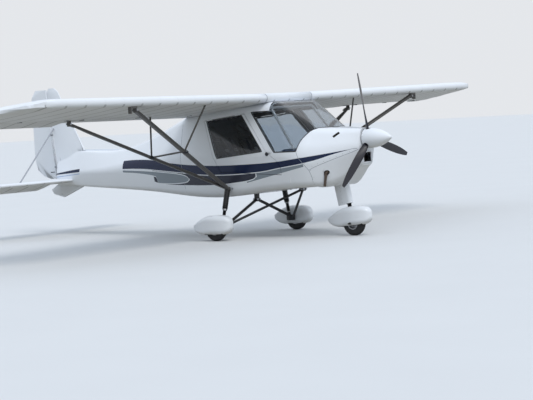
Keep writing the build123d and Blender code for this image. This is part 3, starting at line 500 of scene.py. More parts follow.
def make_materials(paint):
    """Every finish, by the name that the pieces ask for."""
    return {
        "striped": gelcoat(paint, True),
        "gelcoat": gelcoat(paint, False),
        "covering": covering(paint),
        "window": window(paint),
        "strut": metal("strut_paint", paint.strut, 0.42, 0.2, (1.0, 1.0, 1.0)),
        "black": metal("black_paint", paint.black, 0.38, 0.0),
        "blade": metal("blade_black", srgb(34, 34, 44), 0.30, 0.0, (4.0, 1.0, 1.0)),
        "bright": metal("bright_alloy", srgb(176, 178, 182), 0.30, 0.9, (1.0, 6.0, 1.0)),
        "engine": metal("cast_alloy", srgb(84, 84, 88), 0.55, 0.7),
        "rust": metal("hot_steel", srgb(96, 84, 76), 0.6, 0.6, (1.0, 1.0, 4.0)),
        "tyre": rubber("tyre_rubber", srgb(30, 30, 32), 0.72),
        "seal": rubber("seal_rubber", srgb(40, 41, 44), 0.6),
        "coaming": rubber("coaming", paint.coaming, 0.75),
        "panel": rubber("panel_face", srgb(38, 40, 44), 0.6),
        "seat": cloth("seat_cloth", paint.seat),
        "harness": cloth("harness_web", srgb(30, 32, 38)),
        "lining": rubber("cabin_lining", paint.lining, 0.8),
        "inner_tube": metal("cabin_tube", srgb(224, 227, 231), 0.35, 0.0),
        "joint": rubber("joint_filler", srgb(128, 133, 142), 0.6),
        "fitting": metal("painted_fitting", srgb(150, 154, 160), 0.4, 0.3),
        "gear_arm": metal("gear_arm_paint", srgb(62, 63, 66), 0.42, 0.2),
        "dark_metal": metal("dark_metal", srgb(48, 50, 56), 0.4, 0.6),
        "tail_strut": metal("tail_strut_paint", srgb(176, 180, 188), 0.35, 0.3),
        "dial": metal("dial_face", srgb(20, 21, 23), 0.35, 0.0),
        "mark": metal("dial_mark", srgb(225, 226, 222), 0.5, 0.0),
        "screen": metal("screen_glass", srgb(16, 22, 34), 0.08, 0.0),
        # Painted shade inside openings: the cowl vents' slots, the pipe's deep bore and the plate
        # behind the cooler; the cooler's fins are also dark of their own.
        "pipe": metal("dark_opening_shade", srgb(26, 22, 20), 0.8, 0.2),
    }


FINISH = {}
NODE_FINISH = {
    "cabin_tub": "striped", "cabin_roof": "striped", "rear_fuselage": "striped",
    "cowl_upper": "striped", "cowl_lower": "striped", "door_port": "striped",
    "door_starboard": "striped", "instrument_panel": "coaming", "control_stick": "black",
    "exhaust_pipe": "rust", "main_leg_port": "gear_arm",
    "main_leg_starboard": "gear_arm", "firewall": "bright", "rear_bulkhead": "lining",
    "tail_strut_port": "tail_strut", "tail_strut_starboard": "tail_strut",
}
SLOT_FINISH = {
    "hull": "gelcoat", "covering": "covering", "window": "window", "strut": "strut",
    "bulkhead": "bright", "panel": "panel", "seat": "seat", "engine": "engine", "steel": "black",
    "blade": "blade", "tyre": "tyre", "rim": "bright",
}


# Shared ways of making a piece

def add_piece(bm, name, body, finish, sharp=35.0, smooth=True):
    """A finished mesh object that rides on a body."""
    mesh = bpy.data.meshes.new(name)
    if smooth:
        for face in bm.faces:
            face.smooth = True
    bm.to_mesh(mesh)
    bm.free()
    if smooth:
        mesh.set_sharp_from_angle(angle=math.radians(sharp))
    obj = bpy.data.objects.new(name, mesh)
    bpy.context.scene.collection.objects.link(obj)
    mesh.materials.append(FINISH[finish])
    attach(obj, body)
    return obj


def merged_copy(node):
    """A bmesh of a node with its loose triangles joined."""
    bm = bmesh.new()
    bm.from_mesh(frame["nodes"][node].data)
    bmesh.ops.remove_doubles(bm, verts=bm.verts, dist=2e-5)
    return bm


LINED = ("cabin_tub", "cabin_roof", "door_port", "door_starboard")
AXIS_Z = 1.08


def skin(node, sharp=32.0):
    """A smooth-shaded copy that stands for a node, with a dark lining where it faces inwards."""
    finish = NODE_FINISH.get(node) or SLOT_FINISH[SLOT_OF[node]]
    bm = merged_copy(node)
    if node in LINED:
        bm.normal_update()
        for face in bm.faces:
            middle = face.calc_center_median()
            out = Vector((0, middle.y, middle.z - AXIS_Z)).normalized()
            if face.normal.dot(out) < -0.2:
                face.material_index = 1
    obj = add_piece(bm, "skin_" + node, BODY_OF[node], finish, sharp)
    if node in LINED:
        obj.data.materials.append(FINISH["lining"])
    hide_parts(node)
    return obj


def join(bm, part):
    """Bring a finished part into a bmesh."""
    mesh = bpy.data.meshes.new("part")
    part.to_mesh(mesh)
    part.free()
    bm.from_mesh(mesh)
    bpy.data.meshes.remove(mesh)


def point(x, y, z):
    """A place given in the model's millimetres."""
    return Vector((x, y, z)) * MM


def on_side(place, side):
    """A place of the port side, or its mirror image."""
    return point(place[0], side * place[1], place[2])


def bar(bm, start, end, radius, tip=None, sides=14):
    """A round bar, or a cone, between two places."""
    run = end - start
    turn = run.to_track_quat("Z", "Y").to_matrix().to_4x4()
    bmesh.ops.create_cone(bm, cap_ends=True, segments=sides, radius1=radius,
                          radius2=radius if tip is None else tip, depth=run.length,
                          matrix=Matrix.Translation((start + end) / 2) @ turn)


def block(bm, middle, size, turn=None, bevel=0.0):
    """A box with its edges taken off."""
    part = bmesh.new()
    bmesh.ops.create_cube(part, size=1.0)
    bmesh.ops.scale(part, vec=size, verts=part.verts)
    if bevel:
        bmesh.ops.bevel(part, geom=part.edges[:], offset=bevel, segments=2, profile=0.5,
                        affect="EDGES", material=-1)
    if turn is not None:
        bmesh.ops.rotate(part, cent=(0, 0, 0), matrix=turn, verts=part.verts)
    bmesh.ops.translate(part, vec=middle, verts=part.verts)
    join(bm, part)


def sweep(bm, stations, section, closed=False):
    """Carry a closed section along stations. Each station is a place, a side way and an up way."""
    part = bmesh.new()
    rings = []
    for place, side, up in stations:
        verts = [part.verts.new(place + side * u + up * v) for u, v in section]
        rings.append([part.edges.new(pair) for pair in zip(verts, verts[1:] + verts[:1])])
    pairs = list(zip(rings, rings[1:]))
    if closed:
        pairs.append((rings[-1], rings[0]))
    else:
        bmesh.ops.edgeloop_fill(part, edges=rings[0])
        bmesh.ops.edgeloop_fill(part, edges=rings[-1])
    for first, second in pairs:
        bmesh.ops.bridge_loops(part, edges=first + second)
    bmesh.ops.recalc_face_normals(part, faces=part.faces)
    join(bm, part)


def round_section(radius, sides=10):
    """The points of a round section."""
    angles = [2 * math.pi * index / sides for index in range(sides)]
    return [(radius * math.cos(angle), radius * math.sin(angle)) for angle in angles]


def flat_section(width, thick):
    """The points of a flat strip's section, its upper edges rounded off."""
    half, edge = width / 2, min(width * 0.2, thick * 0.6)
    return [(-half, -thick), (half, -thick), (half, thick - edge), (half - edge, thick),
            (edge - half, thick), (-half, thick - edge)]


def tree_of(*nodes):
    """A search tree over the faces of some CAD nodes."""
    verts, faces = [], []
    for node in nodes:
        mesh = frame["nodes"][node].data
        first = len(verts)
        verts += [vert.co.copy() for vert in mesh.vertices]
        faces += [tuple(first + index for index in face.vertices) for face in mesh.polygons]
    return BVHTree.FromPolygons(verts, faces)


def spaced(outline, step, closed=False):
    """An outline with more points, none further apart than a step."""
    ends = outline[1:] + (outline[:1] if closed else [])
    made = []
    for first, second in zip(outline, ends):
        first, second = Vector(first), Vector(second)
        count = max(1, math.ceil((second - first).length / step))
        made += [first.lerp(second, index / count) for index in range(count)]
    if not closed:
        made.append(Vector(outline[-1]))
    return made


def from_side(outline, side, step=30.0, closed=False):
    """Rays onto the side of the body, from stations and heights in millimetres."""
    return [(point(spot.x, side * 2000.0, spot.y), Vector((0, -side, 0)))
            for spot in spaced([(x, z) for x, z in outline], step, closed)]


def from_above(outline, step=30.0, closed=False):
    """Rays onto the top of the body, from stations and widths in millimetres."""
    return [(point(spot.x, spot.y, 3000.0), Vector((0, 0, -1)))
            for spot in spaced([(x, y) for x, y in outline], step, closed)]


def round_body(station, middle, first, last, steps=48):
    """Rays towards the body's axis at one station, from one angle to another."""
    rays = []
    for index in range(steps + 1):
        angle = math.radians(first + (last - first) * index / steps)
        way = Vector((0, math.sin(angle), math.cos(angle)))
        rays.append((point(station, 0, middle) + way * 1.5, -way))
    return rays


def landings(tree, rays):
    """Where rays land, with the surface's way out there."""
    spots = []
    for start, way in rays:
        place, normal = tree.ray_cast(start, way)[:2]
        if place is None:
            continue
        spots.append((place, normal if normal.dot(way) < 0 else -normal))
    return spots


def strip(bm, tree, rays, width, thick, closed=False):
    """A flat strip that lies along a surface."""
    spots = landings(tree, rays)
    stations = []
    last = len(spots) - 1
    for index, (place, normal) in enumerate(spots):
        before = spots[index - 1 if closed or index else 0][0]
        after = spots[(index + 1) % len(spots) if closed else min(index + 1, last)][0]
        side = (after - before).normalized().cross(normal).normalized()
        stations.append((place, side, normal))
    sweep(bm, stations, flat_section(width, thick), closed)


def studs(bm, tree, rays, radius, height=0.0016):
    """Low round heads standing on a surface."""
    for place, normal in landings(tree, rays):
        bar(bm, place - normal * height, place + normal * height, radius, radius * 0.72, 10)


SIDES = (("port", 1.0), ("starboard", -1.0))


class AERO_OT_seams(Operator):
    """Run the dark joints between the mouldings, with their fasteners"""
    bl_idname = "aero.seams"
    bl_label = "Panel joints"

    def execute(self, context):
        detail = context.scene.aero_detail
        width, thick, head = detail.gap_width, detail.gap_height, detail.screw_radius
        tree = tree_of("cabin_tub", "cabin_roof", "rear_fuselage", "cowl_upper", "cowl_lower",
                       "windscreen", "door_port", "door_starboard")
        bm, heads = bmesh.new(), bmesh.new()
        ring = round_body(HULL_JOINT_X, HULL_AXIS_Z, 0, 360, 96)[:-1]
        strip(bm, tree, ring, width, thick, True)
        for _, side in SIDES:
            strip(bm, tree, from_side(COWL_JOINT, side), width, thick)
            strip(bm, tree, from_side(COWL_SPLIT, side), width, thick)
            strip(bm, tree, from_side(SPLIT_STEP, side), width, thick)
            studs(heads, tree, from_side(COWL_HEADS, side, 125.0), head)
            studs(heads, tree, from_side(SPLIT_HEADS, side, 105.0), head)
        strip(bm, tree, round_body(COWL_REAR_X, COWL_AXIS_Z, 150, 210, 20), width, thick)
        add_piece(bm, "panel_joints", "airframe", "joint")
        add_piece(heads, "cowl_screws", "airframe", "bright")
        return {"FINISHED"}


class AERO_OT_windows(Operator):
    """Seat the windows in their seals"""
    bl_idname = "aero.windows"
    bl_label = "Window seals"

    def execute(self, context):
        detail = context.scene.aero_detail
        width, thick = detail.seal_width, detail.seal_height
        body = tree_of("cabin_tub", "cabin_roof", "windscreen", "cowl_upper")
        for name, side in SIDES:
            tree = tree_of("door_" + name, "door_glass_" + name)
            bm = bmesh.new()
            strip(bm, tree, from_side(WINDOW, side, closed=True), width, thick, True)
            add_piece(bm, "window_seal_" + name, "door_" + name, "seal")
            rivets = bmesh.new()
            inner = [(x + (1060 - x) * 0.035, z + (1300 - z) * 0.05) for x, z in WINDOW]
            studs(rivets, tree, from_side(inner, side, 92.0, True), detail.screw_radius * 0.8)
            add_piece(rivets, "window_screws_" + name, "door_" + name, "bright")
        bm = bmesh.new()
        for side in (1.0, -1.0):
            strip(bm, body, from_side(SCREEN_EDGE, side), width, thick)
            strip(bm, body, from_side(SCREEN_ARCH, side, 22.0), width * 0.8, thick)
        head = [(SCREEN_HEAD_X, -SCREEN_HEAD_HALF), (SCREEN_HEAD_X, SCREEN_HEAD_HALF)]
        strip(bm, body, from_above(head), width, thick)
        foot = [(SCREEN_FOOT_X, -SCREEN_FOOT_HALF), (SCREEN_FOOT_X, SCREEN_FOOT_HALF)]
        strip(bm, body, from_above(foot), width * 0.8, thick)
        add_piece(bm, "screen_seal", "airframe", "seal")
        bm = bmesh.new()
        for side in (1.0, -1.0):
            for line in (SCREEN_HEADS, ARCH_HEADS):
                studs(bm, body, from_side(line, side, 96.0), detail.screw_radius * 0.8)
        add_piece(bm, "screen_screws", "airframe", "bright")
        self.posts()
        return {"FINISHED"}

    def posts(self):
        """The cabin's inner tubes, behind the windscreen."""
        bm = bmesh.new()
        for _, side in SIDES:
            for first, last, radius in CABIN_TUBES:
                bar(bm, on_side(first, side), on_side(last, side), radius)
        for x, half, z, radius in CROSS_TUBES:
            bar(bm, point(x, -half, z), point(x, half, z), radius)
        add_piece(bm, "cabin_tubes", "airframe", "inner_tube")


class AERO_OT_doors(Operator):
    """Fit the doors' latches, handles and inner straps"""
    bl_idname = "aero.doors"
    bl_label = "Door fittings"

    def execute(self, context):
        for name, side in SIDES:
            tree = tree_of("door_" + name)
            spots = landings(tree, from_side([LATCH], side))
            place, normal = spots[0]
            along = Vector((1, 0, 0))
            rise = normal.cross(along).normalized()
            bm = bmesh.new()
            bar(bm, place - normal * 0.004, place + normal * 0.003, 0.026, 0.024, 28)
            bar(bm, place + normal * 0.003, place + normal * 0.008, 0.015, 0.012, 24)
            turn = Matrix((along, rise, normal)).transposed()
            block(bm, place + normal * 0.0105 + along * 0.012, (0.052, 0.013, 0.006), turn, 0.002)
            add_piece(bm, "door_latch_" + name, "door_" + name, "dark_metal")
            bm = bmesh.new()
            stations = [(point(x, side * DOOR_PULL_Y, z), Vector((0, side, 0)), Vector((0, 0, 1)))
                        for x, z in DOOR_PULL]
            sweep(bm, stations, flat_section(0.022, 0.009))
            add_piece(bm, "door_pull_" + name, "door_" + name, "harness")
        return {"FINISHED"}


class AERO_OT_nose(Operator):
    """Finish the nose: vents, intake, exhaust mouth and spinner"""
    bl_idname = "aero.nose"
    bl_label = "Nose fittings"

    def execute(self, context):
        detail = context.scene.aero_detail
        tree = tree_of("cowl_upper", "cowl_lower")
        # Painted shade: dark strips on the cowl stand for the shade inside the vents' openings.
        bm = bmesh.new()
        for side in (1.0, -1.0):
            strip(bm, tree, from_side(VENT, side, 12.0), 0.030, 0.0012)
        slot = [(COWL_VENT_X, -COWL_VENT_HALF), (COWL_VENT_X, COWL_VENT_HALF)]
        strip(bm, tree, from_above(slot, 12.0), 0.026, 0.0012)
        add_piece(bm, "cowl_vent_shade", "airframe", "pipe")
        bm = bmesh.new()
        for side in (1.0, -1.0):
            strip(bm, tree, from_side(VENT_LIP, side, 12.0), 0.004, 0.005)
        add_piece(bm, "vent_lips", "airframe", "gelcoat")
        self.intake()
        self.exhaust()
        self.spinner(detail)
        return {"FINISHED"}

    def intake(self):
        """The chin intake's lip, and the cooler's fins behind it, closed by a dark plate as painted
        shade of the duct.
        """
        bm = bmesh.new()
        across, low, high, front = INTAKE_HALF, INTAKE_LOW, INTAKE_HIGH, INTAKE_X
        corners = [(-across, low), (across, low), (across, high), (-across, high)]
        stations = []
        middle = Vector((0, 0, (low + high) / 2))
        for y, z in spaced(corners, 0.03, True):
            out = (Vector((0, y, z)) - middle).normalized()
            stations.append((Vector((front, y, z)), out, Vector((1, 0, 0))))
        sweep(bm, stations, round_section(0.009), True)
        add_piece(bm, "intake_lip", "airframe", "gelcoat")
        bm = bmesh.new()
        for index in range(FINS):
            y = -across * 0.93 + across * 1.86 * index / (FINS - 1)
            block(bm, Vector((FINS_X, y, (low + high) / 2)), (0.028, 0.0022, high - low - 0.006))
        for index in range(5):
            z = low + 0.016 + (high - low - 0.032) * index / 4
            bar(bm, Vector((FINS_X, -across * 0.95, z)), Vector((FINS_X, across * 0.95, z)), 0.004)
        # Painted shade: a dark plate behind the fins stands for the shade deep in the duct.
        back = Vector((FINS_X - 0.022, 0, (low + high) / 2))
        block(bm, back, (0.006, across * 1.9, high - low - 0.004))
        add_piece(bm, "cooler_and_intake_shade", "airframe", "pipe")

    def exhaust(self):
        """A rolled lip at the pipe's mouth and its dark bore."""
        top, foot = point(*PIPE_TOP), point(*PIPE_FOOT)
        way = (foot - top).normalized()
        side = way.cross(Vector((0, 1, 0))).normalized()
        lift = way.cross(side)
        stations = [(foot + (side * math.cos(a) + lift * math.sin(a)) * 0.0155,
                     side * math.cos(a) + lift * math.sin(a), way)
                    for a in [2 * math.pi * k / 28 for k in range(28)]]
        bm = bmesh.new()
        sweep(bm, stations, round_section(0.0024, 8), True)
        add_piece(bm, "pipe_lip", "airframe", "rust")
        # Painted shade: a dark disc a few centimetres up the pipe stands for the shade of its deep
        # bore.
        bm = bmesh.new()
        bar(bm, foot - way * 0.06, foot - way * 0.05, 0.0138, sides=24)
        add_piece(bm, "pipe_bore_shade", "airframe", "pipe")

    def spinner(self, detail):
        """The plate behind the spinner and its screws."""
        low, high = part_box("spinner")
        axis = Vector((0, 0, (low.z + high.z) / 2))
        radius = (high.z - low.z) / 2
        bm = bmesh.new()
        stations = []
        for index in range(72):
            angle = 2 * math.pi * index / 72
            out = Vector((0, math.cos(angle), math.sin(angle)))
            stations.append((axis + out * (radius - 0.006) + Vector((low.x + 0.001, 0, 0)), out,
                             Vector((-1, 0, 0))))
        sweep(bm, stations, [(-0.012, -0.002), (0.0, -0.002), (0.0, 0.008), (-0.012, 0.008)], True)
        add_piece(bm, "spinner_plate", "propeller", "dark_metal")
        bm = bmesh.new()
        tree = tree_of("spinner")
        rays = []
        for index in range(SPINNER_SCREWS):
            angle = 2 * math.pi * (index + 0.5) / SPINNER_SCREWS
            out = Vector((0, math.cos(angle), math.sin(angle)))
            rays.append((axis + out + Vector((low.x + 0.014, 0, 0)), -out))
        studs(bm, tree, rays, detail.screw_radius, 0.0014)
        add_piece(bm, "spinner_screws", "propeller", "bright")


class AERO_OT_paint(Operator):
    """Make the finishes and give every solid its smooth painted skin"""
    bl_idname = "aero.paint"
    bl_label = "Paint the frame"

    def execute(self, context):
        FINISH.update(make_materials(context.scene.aero_paint))
        for node, obj in frame["nodes"].items():
            finish = NODE_FINISH.get(node) or SLOT_FINISH[SLOT_OF[node]]
            obj.data.materials.clear()
            obj.data.materials.append(FINISH[finish])
        own = ("wing_port", "wing_starboard", "tyre_main_port", "tyre_main_starboard", "tyre_nose",
               "seat_port", "seat_starboard")
        for node in sorted(frame["nodes"]):
            if node not in own:
                skin(node)
        return {"FINISHED"}


class AERO_OT_wings(Operator):
    """Stretch the covering over the wing's ribs"""
    bl_idname = "aero.wings"
    bl_label = "Wing covering"

    def execute(self, context):
        detail = context.scene.aero_detail
        for side, way in SIDES:
            node = "wing_" + side
            bm = merged_copy(node)
            low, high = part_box(node)
            reach = max(abs(low.y), abs(high.y))
            steps = int(reach / (detail.rib_pitch / 2))
            for index in range(4, steps + 1):
                y = way * index * detail.rib_pitch / 2
                geometry = bm.verts[:] + bm.edges[:] + bm.faces[:]
                bmesh.ops.bisect_plane(bm, geom=geometry, dist=1e-6, plane_co=(0, y, 0),
                                       plane_no=(0, 1, 0))
            bm.normal_update()
            for vert in bm.verts:
                bay = abs(vert.co.y) / detail.rib_pitch
                middle = 1 - abs((bay % 1.0) - 0.5) * 2
                inner = min(1.0, max(0.0, (high.x - vert.co.x - 0.12) / 0.1))
                rear = min(1.0, max(0.0, (vert.co.x - low.x - 0.34) / 0.1))
                upright = min(1.0, abs(vert.normal.z) * 1.1)
                vert.co -= vert.normal * detail.rib_sag * middle * inner * rear * upright
            obj = add_piece(bm, "covering_" + side, "airframe", "covering", 30.0)
            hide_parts(node)
        return {"FINISHED"}


class AERO_OT_wheels(Operator):
    """Turn the tyres with their grooves"""
    bl_idname = "aero.wheels"
    bl_label = "Tyres"

    def execute(self, context):
        depth = context.scene.aero_detail.tread_depth
        for tag in ("main_port", "main_starboard", "nose"):
            low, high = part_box("tyre_" + tag)
            middle = (low + high) / 2
            radius = (high.z - low.z) / 2
            half = (high.y - low.y) / 2
            rim_low, rim_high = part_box("rim_" + tag)
            seat = (rim_high.z - rim_low.z) / 2
            rows = [(seat, 0.84), (seat + 0.012, 0.92), (radius * 0.66, 1.0), (radius * 0.80, 0.99),
                    (radius * 0.91, 0.86), (radius * 0.965, 0.66), (radius * 0.985, 0.52)]
            profile = [(r, share * half) for r, share in rows]
            for share, deep in TREAD_GROOVES:
                profile.append((radius * (1 - 0.012 * share) - deep * depth, share * half))
            profile += [(r, -w) for r, w in reversed(profile)]
            bm = bmesh.new()
            ring = [bm.verts.new((middle.x, middle.y + w, middle.z + r)) for r, w in profile]
            edges = [bm.edges.new(pair) for pair in zip(ring, ring[1:])]
            edges.append(bm.edges.new((ring[-1], ring[0])))
            bmesh.ops.spin(bm, geom=ring + edges, cent=middle, axis=(0, 1, 0), steps=72,
                           angle=2 * math.pi, use_merge=True)
            bmesh.ops.remove_doubles(bm, verts=bm.verts, dist=1e-5)
            bmesh.ops.recalc_face_normals(bm, faces=bm.faces)
            body = BODY_OF["tyre_" + tag]
            obj = add_piece(bm, "tread_" + tag, body, "tyre", 28.0)
            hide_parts("tyre_" + tag)
        return {"FINISHED"}


class AERO_OT_seats(Operator):
    """Swell the seats' cushions out of their foam, and sew their channels"""
    bl_idname = "aero.seats"
    bl_label = "Seats"

    def execute(self, context):
        detail = context.scene.aero_detail
        for part, middle, size, tilt in SEAT_PADS:
            mesh = self.pad(context, detail, middle, size, tilt)
            for name, side in SIDES:
                bm = bmesh.new()
                bm.from_mesh(mesh)
                bmesh.ops.translate(bm, vec=(0, side * SEAT_Y, 0), verts=bm.verts)
                obj = add_piece(bm, "seat_" + part + "_" + name, "airframe", "seat", 60.0)
                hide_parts("seat_" + name)
            bpy.data.meshes.remove(mesh)
        for name, side in SIDES:
            self.shell(name, side)
        return {"FINISHED"}

    def pad(self, context, detail, middle, size, tilt):
        """One cushion: a crowned foam block in cloth, with sewn channels."""
        bm = bmesh.new()
        bmesh.ops.create_cube(bm, size=1.0)
        bmesh.ops.scale(bm, vec=size, verts=bm.verts)
        bmesh.ops.bevel(bm, geom=bm.edges[:], offset=min(size) * 0.30, segments=3, profile=0.5,
                        affect="EDGES", material=-1)
        mesh = bpy.data.meshes.new("pad")
        bm.to_mesh(mesh)
        bm.free()
        pad = bpy.data.objects.new("pad", mesh)
        context.scene.collection.objects.link(pad)
        voxels = pad.modifiers.new("voxels", "REMESH")
        voxels.mode = "VOXEL"
        voxels.voxel_size = detail.foam_step
        self.apply(context, pad)
        start = [vert.co.copy() for vert in pad.data.vertices]
        sim = pad.modifiers.new("cloth", "CLOTH")
        sim.settings.use_pressure = True
        sim.settings.uniform_pressure_force = detail.foam_press
        sim.settings.effector_weights.gravity = 0.0
        sim.settings.quality = 4
        sim.point_cache.frame_start = 1
        sim.point_cache.frame_end = SEAT_FRAMES
        for number in range(1, SEAT_FRAMES + 1):
            context.scene.frame_set(number)
        self.apply(context, pad)
        context.scene.frame_set(1)
        half = Vector(size) / 2
        mesh = pad.data
        turn = Matrix.Rotation(tilt, 4, "Y")
        place = Matrix.Translation(Vector(middle)) @ turn
        for vert, origin in zip(mesh.vertices, start):
            move = vert.co - origin
            if move.length > detail.foam_reach:
                vert.co = origin + move.normalized() * detail.foam_reach
            across, along = vert.co.y / half.y, vert.co.x / half.x
            rim = max(abs(across), abs(along))
            seam = math.exp(-((rim - 0.80) / 0.035) ** 2)
            inner = 1.0 if rim < 0.80 else 0.0
            channel = math.exp(-((abs(across % 0.4 - 0.2) - 0.2) / 0.045) ** 2) * inner
            crown = (1 - across ** 2) * (1 - along ** 2) * 0.012
            if vert.co.z > 0:
                vert.co.z += crown - 0.0045 * seam - 0.005 * channel
            side_pull = 0.006 * (1 - abs(vert.co.z) / half.z) * (1 - min(1.0, abs(along)) ** 2)
            if abs(across) > 0.85:
                vert.co.y -= math.copysign(max(0.0, side_pull), vert.co.y)
        mesh.transform(place)
        bpy.data.objects.remove(pad)
        return mesh

    def apply(self, context, obj):
        """Fix the modifiers into the mesh."""
        depsgraph = context.evaluated_depsgraph_get()
        made = bpy.data.meshes.new_from_object(obj.evaluated_get(depsgraph))
        obj.modifiers.clear()
        obj.data = made

    def shell(self, name, side):
        """The moulded shell under the cushions, with its rolled edge and rails."""
        bm = bmesh.new()
        profile = [point(x, 0, z) for x, z in SEAT_SHELL]
        verts = [bm.verts.new(place + Vector((0, side * SEAT_Y - SEAT_HALF, 0)))
                 for place in profile]
        edges = [bm.edges.new(pair) for pair in zip(verts, verts[1:])]
        for _ in range(SHELL_STEPS):
            made = bmesh.ops.extrude_edge_only(bm, edges=edges)["geom"]
            moved = [part for part in made if isinstance(part, bmesh.types.BMVert)]
            edges = [part for part in made if isinstance(part, bmesh.types.BMEdge)
                     and all(vert in moved for vert in part.verts)]
            bmesh.ops.translate(bm, vec=(0, 2 * SEAT_HALF / SHELL_STEPS, 0), verts=moved)
        for vert in bm.verts:
            across = abs(vert.co.y - side * SEAT_Y) / SEAT_HALF
            vert.co += Vector((0.10, 0, 0.35)).normalized() * 0.028 * across ** 4
        bmesh.ops.recalc_face_normals(bm, faces=bm.faces)
        bmesh.ops.solidify(bm, geom=bm.faces[:], thickness=0.006)
        obj = add_piece(bm, "seat_shell_" + name, "airframe", "panel", 40.0)
        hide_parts("seat_" + name)
        bm = bmesh.new()
        for offset in (-0.15, 0.15):
            y = side * SEAT_Y + offset
            block(bm, Vector((1.24, y, 0.622)), (0.46, 0.026, 0.022), None, 0.003)
            bar(bm, Vector((1.44, y, 0.63)), Vector((1.44, y, 0.572)), 0.012)
            bar(bm, Vector((1.04, y, 0.63)), Vector((1.04, y, 0.566)), 0.012)
        add_piece(bm, "seat_rails_" + name, "airframe", "bright")


class AERO_OT_belts(Operator):
    """Lay the harness over each seat"""
    bl_idname = "aero.belts"
    bl_label = "Harness"

    def execute(self, context):
        for name, side in SIDES:
            web, metal_parts = bmesh.new(), bmesh.new()
            middle = side * SEAT_Y
            buckle = Vector((BUCKLE[0], middle, BUCKLE[1]))
            for reach in (-SHOULDER_SPREAD, SHOULDER_SPREAD):
                y = middle + reach
                route = [Vector((0.44, y * 0.9, 1.44))]
                route += [Vector((x, middle + reach * share, z)) for x, share, z in SHOULDER_ROUTE]
                route.append(buckle + Vector((0, reach * 0.2, 0)))
                self.web(web, route, SHOULDER_WIDTH)
                block(metal_parts, Vector((0.842, y, 1.124)), (0.012, 0.058, 0.036),
                      Matrix.Rotation(math.radians(-32), 3, "Y"), 0.002)
            for way in (-1, 1):
                route = [Vector((x, middle + way * out, z)) for x, out, z in LAP_ROUTE]
                route.append(buckle + Vector((0, way * 0.02, 0)))
                self.web(web, route, LAP_WIDTH)
            block(metal_parts, buckle, (0.052, 0.060, 0.016), None, 0.004)
            bar(metal_parts, buckle, buckle + Vector((0, 0, 0.014)), 0.017, 0.015, 20)
            add_piece(web, "harness_" + name, "airframe", "harness")
            add_piece(metal_parts, "buckles_" + name, "airframe", "bright")
        return {"FINISHED"}

    def web(self, bm, route, width):
        """A flat strap along a route."""
        points = spaced([tuple(spot) for spot in route], 0.02)
        stations = []
        for index, spot in enumerate(points):
            before, after = points[max(index - 1, 0)], points[min(index + 1, len(points) - 1)]
            run = (after - before).normalized()
            side = Vector((0, 1, 0))
            side = (side - run * side.dot(run)).normalized()
            stations.append((spot, side, run.cross(side)))
        sweep(bm, stations, flat_section(width, 0.0016))


class AERO_OT_panel(Operator):
    """Set the dials, switches and screen into the panel"""
    bl_idname = "aero.instruments"
    bl_label = "Instruments"

    def execute(self, context):
        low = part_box("instrument_panel")[0]
        face = Vector((low.x - 0.0005, 0, 0))
        bezels, faces, marks = bmesh.new(), bmesh.new(), bmesh.new()
        for y, z, radius, pointer in DIALS:
            self.dial(bezels, faces, marks, face + point(0, y, z), radius * MM, pointer)
        add_piece(bezels, "dial_rims", "airframe", "dark_metal")
        add_piece(faces, "dial_faces", "airframe", "dial")
        add_piece(marks, "dial_marks", "airframe", "mark")
        bm = bmesh.new()
        block(bm, face + point(-3, 0, DISPLAY_Z), (0.012, 0.190, 0.125), None, 0.004)
        add_piece(bm, "screen_rim", "airframe", "dark_metal")
        bm = bmesh.new()
        block(bm, face + point(-10, 0, DISPLAY_Z), (0.003, 0.164, 0.098), None, 0.001)
        add_piece(bm, "screen_face", "airframe", "screen")
        bm = bmesh.new()
        for index in range(SWITCHES):
            y = (index - (SWITCHES - 1) / 2) * SWITCH_STEP
            root, head = face + point(0, y, SWITCH_Z), face + point(-6, y, SWITCH_Z)
            bar(bm, root, head, 0.0075, 0.0065, 12)
            bar(bm, head, face + point(-20, y, SWITCH_Z + 5), 0.0032, 0.0040, 8)
        add_piece(bm, "switches", "airframe", "bright")
        bm = bmesh.new()
        edge = [(low.x * 1000 + 2, y, 1106) for y in range(-540, 541, 60)]
        stations = [(point(*spot), Vector((1, 0, 0)), Vector((0, 0, 1))) for spot in edge]
        sweep(bm, stations, round_section(0.011, 10))
        add_piece(bm, "coaming_roll", "airframe", "coaming")
        return {"FINISHED"}

    def dial(self, bezels, faces, marks, middle, radius, pointer):
        """A round dial with a raised rim, its marks and a pointer."""
        back = Vector((-1, 0, 0))
        ring = []
        for index in range(32):
            angle = 2 * math.pi * index / 32
            out = Vector((0, math.cos(angle), math.sin(angle)))
            ring.append((middle + out * radius + back * 0.002, out, back))
        sweep(bezels, ring, round_section(0.0045, 8), True)
        bar(faces, middle, middle + back * 0.002, radius, sides=32)
        count = 10
        for index in range(count):
            angle = math.radians(-45) + math.radians(270) * index / (count - 1)
            way = Vector((0, math.cos(angle), math.sin(angle)))
            turn = Matrix.Rotation(angle, 3, "X")
            block(marks, middle + back * 0.003 + way * radius * 0.80,
                  (0.0012, radius * 0.20, radius * 0.055), turn)
        angle = math.radians(pointer)
        way = Vector((0, math.cos(angle), math.sin(angle)))
        block(marks, middle + back * 0.0036 + way * radius * 0.28,
              (0.0012, radius * 0.80, radius * 0.07), Matrix.Rotation(angle, 3, "X"))


